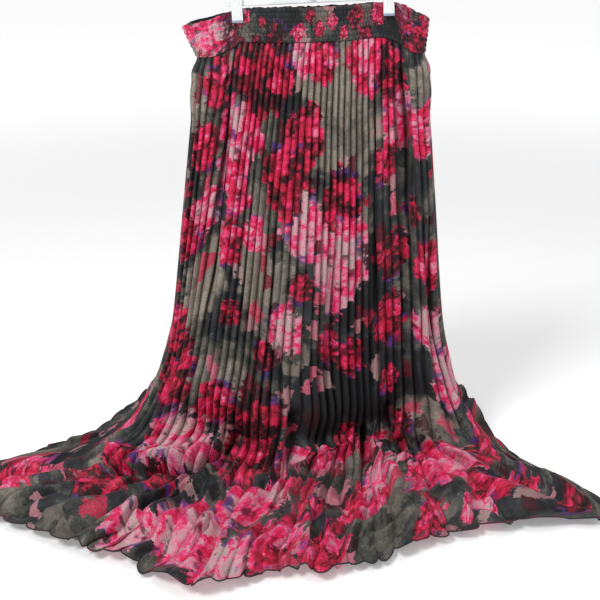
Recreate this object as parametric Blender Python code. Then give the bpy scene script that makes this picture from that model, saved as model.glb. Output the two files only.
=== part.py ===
"""Pleated maxi skirt with a shirred waistband, held by the two pinch clips of a hanger.

Metres, +Z up. The front of the skirt faces -Y and +X is to the right as seen from the front.
The origin is the place where the hook bears on what carries it. Heights are measured from the
floor that the hem lies on, and up() turns a height into a Z coordinate.
"""

import bmesh
import bpy
import math
import numpy as np

# Overall heights, above the floor
HOOK_HEIGHT = 0.760
BAR_HEIGHT = 0.659

# Cloth. A wall is measured straight through, and STEEP_WALL makes up for the slope of a pleat.
PLEATS = 80
PANEL_PLEATS = PLEATS // 2
SKIRT_WALL = 0.0012
BAND_WALL = 0.0016
STEEP_WALL = 1.45
SEAM_GAP = 0.0003
SLOPE_GAP = 0.15
FLOOR_CLEAR = 0.0004

# Pleat depth from the middle surface to a ridge, at the seam, half way down and at the hem
PLEAT_DEPTH_SEAM = 0.0016
PLEAT_DEPTH_TOP = 0.0030
PLEAT_DEPTH_MIDDLE = 0.0040
PLEAT_DEPTH_HEM = 0.0046
DEPTH_MIDDLE_SHARE = 0.5
DEPTH_HEM_SHARE = 0.8
HALF_PLEAT = 0.5

# How much pleats differ in height and in spacing, as waves that never fall into step
PLEAT_UNEVEN = 0.22
UNEVEN_WAVES = ((12.9898, 4.1), (4.1414, 0.7))
PLEAT_SHIFT = 0.10
PLEAT_SHIFT_WAVE = (7.7, 0.4)

# Folds that fan out over the floor: their height as a share of the landing folds' height, how many
# pleats each spans, and how far and how slowly that wanders
FAN_HEIGHT = 0.45
FAN_PLEATS = 5.3
FAN_WANDER = 2.0
FAN_WANDER_RATE = 0.23

# Shares of a panel's length, from the seam to the hem, where its cross sections lie
SKIRT_ROWS = (
    0.0, 0.035, 0.10, 0.20, 0.32, 0.43, 0.51, 0.575, 0.63, 0.685, 0.74, 0.80, 0.86, 0.93, 1.0,
)

# The waistband: the same pleat numbers run round the band and the skirt.
# Pleat 0 is the left side seam and pleat 40 the right one, and 0 to 40 is the front.
# top_ and seam_ give the place across, the height above the floor and the half gap to the back.
BAND_COLUMNS = (
    "pleat", "top_x", "top_height", "top_gap", "seam_x", "seam_height", "seam_gap", "back_rise",
)
BAND_STATIONS = (
    (0.0, -0.1710, 0.6240, 0.0, -0.1520, 0.5830, 0.0, 0.0),
    (1.6, -0.1620, 0.6270, 0.0115, -0.1480, 0.5835, 0.0130, 0.001),
    (3.4, -0.1400, 0.6325, 0.0160, -0.1360, 0.5845, 0.0200, 0.001),
    (4.8, -0.1220, 0.6380, 0.0120, -0.1215, 0.5870, 0.0170, 0.001),
    (6.0, -0.1065, 0.6430, 0.0016, -0.1085, 0.5930, 0.0080, 0.0),
    (8.0, -0.0900, 0.6470, 0.0016, -0.0900, 0.6030, 0.0065, 0.0),
    (14.0, -0.0450, 0.6485, 0.0070, -0.0450, 0.6025, 0.0100, 0.0),
    (20.0, 0.0025, 0.6495, 0.0090, 0.0025, 0.6035, 0.0120, 0.0),
    (26.0, 0.0500, 0.6520, 0.0070, 0.0500, 0.6055, 0.0100, 0.0),
    (32.0, 0.0985, 0.6550, 0.0016, 0.0975, 0.6095, 0.0065, 0.0),
    (34.0, 0.1150, 0.6520, 0.0016, 0.1150, 0.6050, 0.0075, 0.003),
    (35.2, 0.1270, 0.6420, 0.0045, 0.1265, 0.5985, 0.0105, 0.010),
    (36.3, 0.1360, 0.6330, 0.0165, 0.1360, 0.5925, 0.0200, 0.014),
    (38.2, 0.1530, 0.6325, 0.0135, 0.1505, 0.5895, 0.0150, 0.006),
    (40.0, 0.1610, 0.6350, 0.0, 0.1570, 0.5890, 0.0, 0.0),
)

# The skirt below the seam. foot_ is where the hanging cloth would meet the floor, hem_ is where
# the cloth ends on the floor, bend_height is where it starts to turn from one to the other,
# and buckle is the height of the folds that the cloth makes as it settles on the floor.
SKIRT_COLUMNS = ("pleat", "foot_x", "foot_y", "hem_x", "hem_y", "bend_height", "buckle")
SKIRT_STATIONS = (
    (0.0, -0.222, 0.000, -0.420, -0.070, 0.230, 0.003),
    (2.0, -0.221, -0.030, -0.494, -0.145, 0.230, 0.004),
    (4.0, -0.214, -0.055, -0.470, -0.203, 0.210, 0.007),
    (7.0, -0.195, -0.090, -0.402, -0.248, 0.160, 0.015),
    (10.0, -0.160, -0.110, -0.312, -0.296, 0.120, 0.018),
    (14.0, -0.115, -0.122, -0.230, -0.344, 0.095, 0.018),
    (18.0, -0.065, -0.130, -0.140, -0.398, 0.080, 0.015),
    (22.0, -0.005, -0.095, -0.064, -0.378, 0.075, 0.014),
    (26.0, 0.045, -0.052, 0.012, -0.366, 0.070, 0.014),
    (30.0, 0.095, -0.038, 0.088, -0.336, 0.080, 0.015),
    (33.0, 0.132, -0.040, 0.160, -0.286, 0.110, 0.014),
    (36.0, 0.180, -0.042, 0.290, -0.250, 0.160, 0.010),
    (37.5, 0.202, -0.036, 0.382, -0.244, 0.200, 0.006),
    (39.0, 0.214, -0.020, 0.398, -0.200, 0.220, 0.003),
    (41.0, 0.215, 0.012, 0.318, -0.092, 0.220, 0.003),
    (43.0, 0.208, 0.034, 0.276, 0.000, 0.200, 0.004),
    (46.0, 0.188, 0.050, 0.262, 0.110, 0.150, 0.009),
    (50.0, 0.150, 0.056, 0.228, 0.215, 0.110, 0.012),
    (55.0, 0.088, 0.060, 0.138, 0.312, 0.095, 0.012),
    (60.0, 0.000, 0.062, -0.012, 0.340, 0.085, 0.012),
    (65.0, -0.088, 0.060, -0.158, 0.305, 0.095, 0.012),
    (70.0, -0.152, 0.055, -0.245, 0.210, 0.110, 0.012),
    (74.0, -0.192, 0.048, -0.290, 0.095, 0.150, 0.008),
    (77.0, -0.214, 0.032, -0.344, -0.005, 0.200, 0.004),
)

# How far the bend reaches out on the floor, as a share of its height and of the way to the hem
BEND_REACH = 0.75
BEND_REACH_LIMIT = 0.85
PATH_STEPS = 41

# The largest folds, pressed in from the outside. start and end are shares of the length.
FOLD_COLUMNS = ("top_pleat", "low_pleat", "start", "end", "depth", "width")
FOLDS = (
    (6.3, 8.8, -0.10, 0.52, 0.018, 0.95),
    (31.4, 30.2, 0.05, 0.58, 0.014, 0.80),
    (35.4, 34.2, -0.10, 0.50, 0.018, 0.90),
    (37.0, 38.2, 0.28, 0.64, 0.015, 0.80),
    (16.5, 18.5, 0.26, 0.68, 0.010, 0.90),
    (12.5, 13.0, 0.10, 0.48, 0.007, 0.80),
    (25.0, 24.0, 0.30, 0.60, 0.008, 0.80),
    (48.0, 47.0, 0.02, 0.52, 0.015, 0.95),
    (57.5, 58.8, 0.12, 0.58, 0.012, 0.85),
    (70.5, 69.0, 0.02, 0.50, 0.015, 0.95),
)

# Shoulder that the pleats make just below the seam, and the folds where the cloth lands
SHOULDER = 0.0045
SHOULDER_SHARE = 0.12
BUCKLE_START = 0.50
BUCKLE_FOLDS = 3.0
BUCKLE_SWAY = 0.11
BUCKLE_SWAYS = ((0.55, 1.0, 0.0), (0.21, 0.7, 1.3))
BUCKLE_GROWTH = 4.0
BUCKLE_FADE = 0.55
FAN_START = 0.66
FAN_GROWTH = 0.20

# How a large fold begins: its part at the seam, how fast it opens below, how blunt its ends are
SEAM_FOLD = 0.25
FOLD_OPENING = 5.0
FOLD_ENDS = 0.7

# How far to each side a normal is measured, in pleats and in shares, and how soon it stops being level
NORMAL_PLEATS = 0.25
NORMAL_SHARE = 0.004
LEVEL_BLEND = 12.0

# The shirring of the waistband. The clips press it flat round PINCH_PLEATS.
SHIRRING_PUFFS = 7
GATHER_DEPTH = 0.0009
GATHER_AT_STITCHES = 0.6
PUFF_DEPTH = 0.0009
TOP_PUFF = 0.5
PINCH_RELIEF = 0.15
PINCH_REACH = 1.3
PINCH_SHARE = 0.35
PINCH_WIDTH = 2.0
PINCH_PLEATS = (7.0, 33.0)

# The hanger
HANGER_TILT = math.radians(2.6)
BAR_HALF_LENGTH = 0.116
BAR_DEEP = 0.0050
BAR_TALL = 0.0100
BAR_ROUND = 0.0012
BOSS_RADIUS = 0.0060
BOSS_TALL = 0.0160
BOSS_SIDES = 20
BORE_SIDES = 12
BORE_FROM = 0.4
WIRE_RADIUS = 0.0016
HOOK_RADIUS = 0.0190
HOOK_TIP_ANGLE = math.radians(208)
HOOK_NECK_ANGLE = math.radians(-52)
HOOK_NECK_TOP = 1.9
HOOK_BEND = 0.55
HOOK_BEND_STEPS = (0.2, 0.4, 0.6, 0.8)
HOOK_STEPS = 22
CLIP_LEFT_X = -0.1023
CLIP_RIGHT_X = 0.1021
CLIP_WIDTH = 0.0145
CLIP_GRIP = 0.0255
CLIP_ABOVE = 0.0150
JAW_INNER = 0.0034
JAW_THICK = 0.0032
JAW_GROOVE = 0.0009
JAW_GROOVES = 4
GROOVE_SLOPE = 0.3
LIP_TALL = 0.0030
LIP_PROUD = 0.0008
LIP_SIDE = 0.0002
LIP_INSET = 0.0001
SPRING_WIDTH = 0.0070
SPRING_THICK = 0.0009
SPRING_TOP = 1.6
SPRING_SHOULDER = 0.6
SPRING_DOWN = 0.0070

# Colours, as linear red, green and blue
CLOTH_COLOUR = (0.33, 0.035, 0.085, 1.0)
CLOTH_DARK = (0.055, 0.050, 0.055, 1.0)
WHITE_PLASTIC = (0.86, 0.87, 0.88, 1.0)
STEEL = (0.62, 0.63, 0.65, 1.0)


def clear_scene():
    for thing in list(bpy.data.objects):
        bpy.data.objects.remove(thing, do_unlink=True)


def up(height):
    """The Z coordinate of a height above the floor."""
    return height - HOOK_HEIGHT


def make_material(name, colour, roughness, metallic=0.0):
    material = bpy.data.materials.new(name)
    material.use_nodes = True
    shader = material.node_tree.nodes["Principled BSDF"]
    shader.inputs["Base Color"].default_value = colour
    shader.inputs["Roughness"].default_value = roughness
    shader.inputs["Metallic"].default_value = metallic
    return material


def smooth_step(value):
    value = np.clip(value, 0.0, 1.0)
    return value * value * (3.0 - 2.0 * value)


def steady_slopes(knots, data):
    """Slopes for a curve that passes through the data without swinging past it."""
    step = np.diff(knots)
    rise = np.diff(data) / step
    slope = np.zeros_like(data)
    before = rise[:-1]
    after = rise[1:]
    same_way = before * after > 0
    near = 2 * step[1:] + step[:-1]
    far = step[1:] + 2 * step[:-1]
    weight = np.where(same_way, near / np.where(same_way, before, 1.0), 1.0)
    weight = weight + np.where(same_way, far / np.where(same_way, after, 1.0), 1.0)
    slope[1:-1] = np.where(same_way, (near + far) / weight, 0.0)
    return slope


def round_the_loop(table, columns, pleats):
    """Each column of a table at the given pleats, on a smooth curve that closes on itself."""
    rows = np.array(table, float)
    knots = rows[:, 0]
    knots = np.concatenate([knots[-3:] - PLEATS, knots, knots[:3] + PLEATS])
    place = np.mod(pleats, PLEATS)
    values = {}
    for index, name in enumerate(columns):
        if index == 0:
            continue
        data = rows[:, index]
        data = np.concatenate([data[-3:], data, data[:3]])
        slope = steady_slopes(knots, data)
        low = np.clip(np.searchsorted(knots, place, side="right") - 1, 0, len(knots) - 2)
        step = knots[low + 1] - knots[low]
        part = (place - knots[low]) / step
        values[name] = (
            (1 + 2 * part) * (1 - part) ** 2 * data[low]
            + part * (1 - part) ** 2 * step * slope[low]
            + part**2 * (3 - 2 * part) * data[low + 1]
            + part**2 * (part - 1) * step * slope[low + 1]
        )
    return values


def band_table():
    """The waistband's stations all the way round: the back mirrors the front."""
    front = list(BAND_STATIONS)
    back = []
    for row in front[-2:0:-1]:
        pleat, top_x, top_height, top_gap, seam_x, seam_height, seam_gap, rise = row
        back.append(
            (PLEATS - pleat, top_x, top_height + rise, -top_gap, seam_x, seam_height, -seam_gap, rise)
        )
    return front + back


def seam_values(pleats):
    return round_the_loop(band_table(), BAND_COLUMNS, pleats)


def meridian(pleats, shares):
    """The skirt's smooth surface: a grid of points, one line down the skirt for each pleat."""
    seam = seam_values(pleats)
    skirt = round_the_loop(SKIRT_STATIONS, SKIRT_COLUMNS, pleats)
    steep = np.abs(seam_values(pleats + 0.5)["seam_height"] - seam_values(pleats - 0.5)["seam_height"])
    clear = SEAM_GAP + SLOPE_GAP * steep
    top = np.stack([seam["seam_x"], -seam["seam_gap"], seam["seam_height"] - clear], axis=1)
    ground = np.zeros_like(pleats)
    foot = np.stack([skirt["foot_x"], skirt["foot_y"], ground], axis=1)
    hem = np.stack([skirt["hem_x"], skirt["hem_y"], ground], axis=1)
    bend_share = (skirt["bend_height"] / top[:, 2])[:, None]
    start = foot + (top - foot) * bend_share
    run = np.linalg.norm(hem - foot, axis=1)
    run_share = np.minimum(skirt["bend_height"] * BEND_REACH / run, BEND_REACH_LIMIT)[:, None]
    finish = foot + (hem - foot) * run_share
    steps = np.linspace(0.0, 1.0, PATH_STEPS)[None, :, None]
    hang = top[:, None] + (start - top)[:, None] * steps
    curve = (
        start[:, None] * (1 - steps) ** 2
        + foot[:, None] * 2 * steps * (1 - steps)
        + finish[:, None] * steps**2
    )
    lie = finish[:, None] + (hem - finish)[:, None] * steps
    path = np.concatenate([hang, curve[:, 1:], lie[:, 1:]], axis=1)
    length = np.linalg.norm(np.diff(path, axis=1), axis=2).cumsum(axis=1)
    length = np.concatenate([np.zeros((len(pleats), 1)), length], axis=1)
    points = np.empty((len(pleats), len(shares), 3))
    for line in range(len(pleats)):
        wanted = np.array(shares) * length[line, -1]
        for axis in range(3):
            points[line, :, axis] = np.interp(wanted, length[line], path[line, :, axis])
    rest = pleat_depth(pleats, shares) + SKIRT_WALL + FLOOR_CLEAR
    points[:, :, 2] = np.sqrt(points[:, :, 2] ** 2 + rest**2)
    return points


def pleat_depth(pleats, shares):
    """How far the ridges stand out from the smooth surface."""
    shares = np.array(shares)[None, :]
    depth = np.interp(
        shares,
        (0.0, SKIRT_ROWS[1], DEPTH_MIDDLE_SHARE, DEPTH_HEM_SHARE, 1.0),
        (PLEAT_DEPTH_SEAM, PLEAT_DEPTH_TOP, PLEAT_DEPTH_MIDDLE, PLEAT_DEPTH_HEM, PLEAT_DEPTH_HEM),
    )
    return depth * np.ones((len(pleats), 1))


def unevenness(pleats):
    """A number from -1 to 1 for each pleat, the same on every run."""
    number = np.floor(np.mod(pleats, PLEATS))
    (first_rate, first_start), (second_rate, second_start) = UNEVEN_WAVES
    return np.sin(number * first_rate + first_start) * np.cos(number * second_rate + second_start)


def relief(pleats, shares):
    """How far the large folds, the shoulder and the landing folds move the smooth surface."""
    down = np.array(shares)[None, :] * np.ones((len(pleats), 1))
    around = np.array(pleats)[:, None]
    out = np.zeros_like(down)
    for row in FOLDS:
        fold = dict(zip(FOLD_COLUMNS, row))
        along = np.clip((down - fold["start"]) / (fold["end"] - fold["start"]), 0.0, 1.0)
        centre = fold["top_pleat"] + (fold["low_pleat"] - fold["top_pleat"]) * along
        fade = np.sin(np.pi * along) ** FOLD_ENDS
        opening = smooth_step(SEAM_FOLD + down * FOLD_OPENING)
        apart = np.mod(around - centre + PLEATS / 2, PLEATS) - PLEATS / 2
        out -= fold["depth"] * fade * opening * np.exp(-((apart / fold["width"]) ** 2))
    shoulder = np.clip(down / SHOULDER_SHARE, 0.0, 1.0)
    out += SHOULDER * np.sin(np.pi * shoulder) ** 2
    buckle = round_the_loop(SKIRT_STATIONS, SKIRT_COLUMNS, pleats)["buckle"][:, None]
    landing = np.clip((down - BUCKLE_START) / (1.0 - BUCKLE_START), 0.0, 1.0)
    sway = sum(size * np.sin(around * rate + start) for rate, size, start in BUCKLE_SWAYS)
    wave = (1.0 - np.cos(2 * np.pi * landing * (BUCKLE_FOLDS + BUCKLE_SWAY * sway))) / 2
    out += buckle * wave * smooth_step(landing * BUCKLE_GROWTH) * (1.0 - BUCKLE_FADE * landing)
    wander = FAN_WANDER * np.sin(around * FAN_WANDER_RATE)
    fan = (1.0 + np.sin(2 * np.pi * around / FAN_PLEATS + wander)) / 2
    out += FAN_HEIGHT * buckle * fan * smooth_step((down - FAN_START) / FAN_GROWTH)
    return out


def normals(surface, pleats, shares, level_at=None):
    """Outward unit normals of a surface that is given as a function.

    They are level where the share is level_at, so that an edge there keeps its height.
    """
    around = surface(pleats + NORMAL_PLEATS, shares) - surface(pleats - NORMAL_PLEATS, shares)
    above = np.clip(np.array(shares) - NORMAL_SHARE, 0.0, 1.0)
    below = np.clip(np.array(shares) + NORMAL_SHARE, 0.0, 1.0)
    down = surface(pleats, below) - surface(pleats, above)
    normal = np.cross(down, around)
    normal /= np.linalg.norm(normal, axis=2, keepdims=True)
    if level_at is not None:
        normal[:, :, 2] *= smooth_step(np.abs(np.array(shares) - level_at) * LEVEL_BLEND)[None, :]
        normal /= np.linalg.norm(normal, axis=2, keepdims=True)
    return normal


def folded(pleats, shares):
    """The skirt's surface with its large folds, without pleats."""
    points = meridian(pleats, shares)
    return points + normals(meridian, pleats, shares, 0.0) * relief(pleats, shares)[:, :, None]


def wall_from_grids(name, outer, inner, material):
    """One closed wall between an outer and an inner grid, whose first and last columns meet."""
    columns, rows = outer.shape[:2]
    inner_rows = inner.shape[1]
    mesh = bpy.data.meshes.new(name)
    body = bmesh.new()
    outside = [[body.verts.new(outer[c, r]) for r in range(rows)] for c in range(columns)]
    inside = [[body.verts.new(inner[c, r]) for r in range(inner_rows)] for c in range(columns)]
    for c in range(columns - 1):
        for r in range(rows - 1):
            body.faces.new(
                (outside[c][r], outside[c][r + 1], outside[c + 1][r + 1], outside[c + 1][r])
            )
        for r in range(inner_rows - 1):
            body.faces.new((inside[c][r], inside[c + 1][r], inside[c + 1][r + 1], inside[c][r + 1]))
        body.faces.new((outside[c][0], outside[c + 1][0], inside[c + 1][0], inside[c][0]))
        body.faces.new((outside[c][-1], inside[c][-1], inside[c + 1][-1], outside[c + 1][-1]))
    close_side(body, outside[0], inside[0], False)
    close_side(body, outside[-1], inside[-1], True)
    bmesh.ops.triangulate(body, faces=body.faces)
    bmesh.ops.recalc_face_normals(body, faces=body.faces)
    body.to_mesh(mesh)
    body.free()
    mesh.materials.append(material)
    wall = bpy.data.objects.new(name, mesh)
    bpy.context.scene.collection.objects.link(wall)
    return wall


def close_side(body, outside, inside, flip):
    """The narrow face at a side seam, between an outer and an inner column of points."""
    if len(outside) == len(inside):
        for r in range(len(outside) - 1):
            corners = [outside[r], inside[r], inside[r + 1], outside[r + 1]]
            body.faces.new(corners[::-1] if flip else corners)
        return
    corners = outside + inside[::-1]
    body.faces.new(corners if flip else corners[::-1])


def part_at_side(grid, neighbour_first, neighbour_last):
    """Draws the two side edges of a panel in, so that panels stay apart at the side seams."""
    for edge, beside in ((0, neighbour_first), (-1, neighbour_last)):
        along = grid[beside] - grid[edge]
        along /= np.linalg.norm(along, axis=1, keepdims=True)
        grid[edge] += along * SEAM_GAP
    return grid


def make_skirt_panel(name, first_pleat, material):
    """One pleated panel, from side seam to side seam."""
    pleats = first_pleat + np.arange(2 * PANEL_PLEATS + 1) * HALF_PLEAT
    rate, start = PLEAT_SHIFT_WAVE
    shift = PLEAT_SHIFT * np.sin(pleats * rate + start)
    shift[0] = 0.0
    shift[-1] = 0.0
    half_wall = SKIRT_WALL * STEEP_WALL / 2
    outer = pleated(pleats, shift, half_wall)
    inner = pleated(pleats, shift, -half_wall)
    outer = part_at_side(outer, 1, -2)
    inner = part_at_side(inner, 1, -2)
    return wall_from_grids(name, outer, inner, material)


def pleated(pleats, shift, offset):
    """Pleats whose ridges are spaced a little unevenly."""
    ridge = np.mod(pleats, 1.0) > HALF_PLEAT / 2
    height = np.where(ridge, 1.0, -1.0) * (1.0 + PLEAT_UNEVEN * unevenness(pleats))
    moved = pleats + shift
    points = folded(moved, SKIRT_ROWS)
    out = normals(folded, moved, SKIRT_ROWS, 0.0)
    lift = pleat_depth(moved, SKIRT_ROWS) * height[:, None] + offset
    points = points + out * lift[:, :, None]
    lowest = FLOOR_CLEAR + (SKIRT_WALL if offset > 0 else 0.0)
    points[:, :, 2] = np.maximum(points[:, :, 2], lowest)
    points[:, :, 2] -= HOOK_HEIGHT
    return points


def band_surface(pleats, shares):
    """The smooth waistband: shares run from its top edge to its seam."""
    values = seam_values(pleats)
    shares = np.array(shares)[None, :, None]
    top = np.stack([values["top_x"], -values["top_gap"], values["top_height"]], axis=1)
    seam = np.stack([values["seam_x"], -values["seam_gap"], values["seam_height"]], axis=1)
    blend = smooth_step((shares - PINCH_SHARE) / (1.0 - PINCH_SHARE))
    points = top[:, None] * (1 - shares) + seam[:, None] * shares
    across = top[:, None, 1] * (1 - blend[:, :, 0]) + seam[:, None, 1] * blend[:, :, 0]
    points[:, :, 1] = across
    return points


def make_band_panel(name, first_pleat, material):
    """Half of the waistband: puffed gathers outside, plain inside."""
    pleats = first_pleat + np.arange(2 * PANEL_PLEATS + 1) * HALF_PLEAT
    rows = np.linspace(0.0, 1.0, 2 * SHIRRING_PUFFS + 1)
    puff = np.sin(np.pi * rows * SHIRRING_PUFFS) ** 2
    puff[0] = TOP_PUFF
    gather = np.where(np.mod(pleats, 1.0) > HALF_PLEAT / 2, 1.0, 0.0)
    across = PANEL_PLEATS - np.abs(np.mod(pleats, PLEATS) - PANEL_PLEATS)
    pinched = sum(np.exp(-(((across - place) / PINCH_WIDTH) ** 2)) for place in PINCH_PLEATS)
    pinched = 1.0 - (1.0 - PINCH_RELIEF) * np.clip(pinched * PINCH_REACH, 0.0, 1.0)
    gathered = GATHER_AT_STITCHES + (1.0 - GATHER_AT_STITCHES) * puff[None, :]
    raised = GATHER_DEPTH * gather[:, None] * gathered
    raised = (raised + PUFF_DEPTH * puff[None, :]) * pinched[:, None]
    normal = normals(band_surface, pleats, rows, 1.0)
    outer = band_surface(pleats, rows) + normal * (BAND_WALL / 2 + raised)[:, :, None]
    inner_rows = np.linspace(0.0, 1.0, 3)
    inner = band_surface(pleats, inner_rows)
    inner = inner - normals(band_surface, pleats, inner_rows, 1.0) * BAND_WALL / 2
    outer[:, :, 2] -= HOOK_HEIGHT
    inner[:, :, 2] -= HOOK_HEIGHT
    outer = part_at_side(outer, 1, -2)
    inner = part_at_side(inner, 1, -2)
    return wall_from_grids(name, outer, inner, material)


def extruded(name, outline, depth, material, bevel=0.0):
    """A prism: an outline of two coordinates, drawn out along the third."""
    body = bmesh.new()
    bottom = [body.verts.new((x, y, 0.0)) for x, y in outline]
    face = body.faces.new(bottom)
    moved = bmesh.ops.extrude_face_region(body, geom=[face])
    raised = [item for item in moved["geom"] if isinstance(item, bmesh.types.BMVert)]
    bmesh.ops.translate(body, verts=raised, vec=(0.0, 0.0, depth))
    bmesh.ops.recalc_face_normals(body, faces=body.faces)
    mesh = bpy.data.meshes.new(name)
    body.to_mesh(mesh)
    body.free()
    mesh.materials.append(material)
    prism = bpy.data.objects.new(name, mesh)
    bpy.context.scene.collection.objects.link(prism)
    if bevel:
        edge = prism.modifiers.new("edges", "BEVEL")
        edge.width = bevel
        edge.segments = 2
        edge.limit_method = "ANGLE"
    return prism


def rectangle(width, height):
    return (
        (-width / 2, -height / 2),
        (width / 2, -height / 2),
        (width / 2, height / 2),
        (-width / 2, height / 2),
    )


def make_bar(frame, material):
    """The bar, with a round boss in its middle that takes the hook."""
    bar = extruded("hanger_bar", rectangle(BAR_TALL, BAR_DEEP), 2 * BAR_HALF_LENGTH, material, BAR_ROUND)
    bar.parent = frame
    bar.rotation_euler = (0.0, math.radians(90), 0.0)
    bar.location = (-BAR_HALF_LENGTH, 0.0, up(BAR_HEIGHT))
    bpy.ops.mesh.primitive_cylinder_add(vertices=BOSS_SIDES, radius=BOSS_RADIUS, depth=BOSS_TALL)
    boss = bpy.context.active_object
    boss.name = "boss_guide"
    boss.parent = frame
    boss.location = (0.0, 0.0, up(BAR_HEIGHT) + BOSS_TALL / 2)
    boss.hide_render = True
    boss.display_type = "WIRE"
    join = bar.modifiers.new("boss", "BOOLEAN")
    join.operation = "UNION"
    join.object = boss
    bpy.ops.mesh.primitive_cylinder_add(
        vertices=BORE_SIDES, radius=WIRE_RADIUS + SEAM_GAP, depth=BOSS_TALL
    )
    bore = bpy.context.active_object
    bore.name = "bore_guide"
    bore.parent = frame
    bore.location = (0.0, 0.0, up(BAR_HEIGHT) + BOSS_TALL * (BORE_FROM + 0.5))
    bore.hide_render = True
    bore.display_type = "WIRE"
    cut = bar.modifiers.new("bore", "BOOLEAN")
    cut.operation = "DIFFERENCE"
    cut.object = bore
    return bar


def make_hook(frame, material):
    """The wire hook: a straight neck, a short bend and most of a circle."""
    centre = -(HOOK_RADIUS - WIRE_RADIUS)
    neck_foot = up(BAR_HEIGHT) + BOSS_TALL * BORE_FROM + SEAM_GAP
    points = [(0.0, neck_foot), (0.0, centre - HOOK_RADIUS * HOOK_NECK_TOP)]
    begin = (
        HOOK_RADIUS * math.cos(HOOK_NECK_ANGLE),
        centre + HOOK_RADIUS * math.sin(HOOK_NECK_ANGLE),
    )
    low = points[-1]
    handle = HOOK_RADIUS * HOOK_BEND
    for step in HOOK_BEND_STEPS:
        first = (low[0], low[1] + handle)
        second = (
            begin[0] - handle * math.cos(HOOK_NECK_ANGLE + math.pi / 2),
            begin[1] - handle * math.sin(HOOK_NECK_ANGLE + math.pi / 2),
        )
        weights = ((1 - step) ** 3, 3 * step * (1 - step) ** 2, 3 * step**2 * (1 - step), step**3)
        points.append(
            tuple(
                sum(w * p[i] for w, p in zip(weights, (low, first, second, begin)))
                for i in range(2)
            )
        )
    for step in range(HOOK_STEPS + 1):
        angle = HOOK_NECK_ANGLE + (HOOK_TIP_ANGLE - HOOK_NECK_ANGLE) * step / HOOK_STEPS
        points.append((HOOK_RADIUS * math.cos(angle), centre + HOOK_RADIUS * math.sin(angle)))
    curve = bpy.data.curves.new("hanger_hook", "CURVE")
    curve.dimensions = "3D"
    curve.bevel_depth = WIRE_RADIUS
    curve.bevel_resolution = 2
    curve.use_fill_caps = True
    spline = curve.splines.new("POLY")
    spline.points.add(len(points) - 1)
    for target, (x, z) in zip(spline.points, points):
        target.co = (x, 0.0, z, 1.0)
    curve.materials.append(material)
    hook = bpy.data.objects.new("hanger_hook", curve)
    bpy.context.scene.collection.objects.link(hook)
    hook.parent = frame
    return hook


def jaw_outline():
    """A jaw seen from above, with upright grooves in its outer face, for the front jaw."""
    half = CLIP_WIDTH / 2
    outline = [(-half, -JAW_INNER), (-half, -JAW_INNER - JAW_THICK)]
    rib = CLIP_WIDTH / (2 * JAW_GROOVES + 1)
    for groove in range(JAW_GROOVES):
        left = -half + rib * (2 * groove + 1)
        outline.append((left, -JAW_INNER - JAW_THICK))
        outline.append((left + rib * GROOVE_SLOPE, -JAW_INNER - JAW_THICK + JAW_GROOVE))
        outline.append((left + rib * (1.0 - GROOVE_SLOPE), -JAW_INNER - JAW_THICK + JAW_GROOVE))
        outline.append((left + rib, -JAW_INNER - JAW_THICK))
    outline += [(half, -JAW_INNER - JAW_THICK), (half, -JAW_INNER)]
    return outline


def make_clip(frame, side, across, plastic, steel):
    """Two jaws with a lip at the bottom, and the strap that presses them together."""
    bottom = up(BAR_HEIGHT) - CLIP_GRIP
    top = up(BAR_HEIGHT) + CLIP_ABOVE
    for face, turn in (("front", 0.0), ("back", math.pi)):
        name = f"clip_{side}_{face}"
        jaw = extruded(name, jaw_outline(), top - bottom, plastic)
        jaw.parent = frame
        jaw.location = (across, 0.0, bottom)
        jaw.rotation_euler = (0.0, 0.0, turn)
        lip_plan = rectangle(CLIP_WIDTH + 2 * LIP_SIDE, JAW_THICK)
        lip = extruded(name + "_lip_guide", lip_plan, LIP_TALL, plastic)
        lip.parent = frame
        reach = (JAW_INNER + LIP_INSET + JAW_THICK / 2 + LIP_PROUD) * (1 if turn else -1)
        lip.location = (across, reach, bottom - LIP_SIDE)
        lip.hide_render = True
        lip.display_type = "WIRE"
        join = jaw.modifiers.new("lip", "BOOLEAN")
        join.operation = "UNION"
        join.object = lip
    outside = JAW_INNER + JAW_THICK + SEAM_GAP
    inside_top = top + SEAM_GAP
    shoulder = inside_top + SPRING_THICK * SPRING_SHOULDER
    crown = inside_top + SPRING_THICK * SPRING_TOP
    low = top - SPRING_DOWN
    outline = [
        (-outside - SPRING_THICK, low),
        (-outside - SPRING_THICK, shoulder),
        (-outside, crown),
        (outside, crown),
        (outside + SPRING_THICK, shoulder),
        (outside + SPRING_THICK, low),
        (outside, low),
        (outside, inside_top),
        (-outside, inside_top),
        (-outside, low),
    ]
    spring = extruded(f"clip_{side}_spring", outline, SPRING_WIDTH, steel)
    spring.parent = frame
    spring.rotation_euler = (math.radians(90), 0.0, math.radians(90))
    spring.location = (across - SPRING_WIDTH / 2, 0.0, 0.0)


def make_hanger():
    """The hanger is built level and then turned about the hook's bearing point."""
    frame = bpy.data.objects.new("hanger_frame", None)
    bpy.context.scene.collection.objects.link(frame)
    frame.rotation_euler = (0.0, -HANGER_TILT, 0.0)
    plastic = make_material("white_plastic", WHITE_PLASTIC, 0.28)
    steel = make_material("steel", STEEL, 0.25, 1.0)
    make_bar(frame, plastic)
    make_hook(frame, steel)
    make_clip(frame, "left", CLIP_LEFT_X, plastic, steel)
    make_clip(frame, "right", CLIP_RIGHT_X, plastic, steel)


def make_garment():
    cloth = make_material("printed_cloth", CLOTH_COLOUR, 0.55)
    band = make_material("shirred_cloth", CLOTH_DARK, 0.65)
    make_skirt_panel("skirt_front", 0.0, cloth)
    make_skirt_panel("skirt_back", float(PANEL_PLEATS), cloth)
    make_band_panel("waistband_front", 0.0, band)
    make_band_panel("waistband_back", float(PANEL_PLEATS), band)


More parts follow.
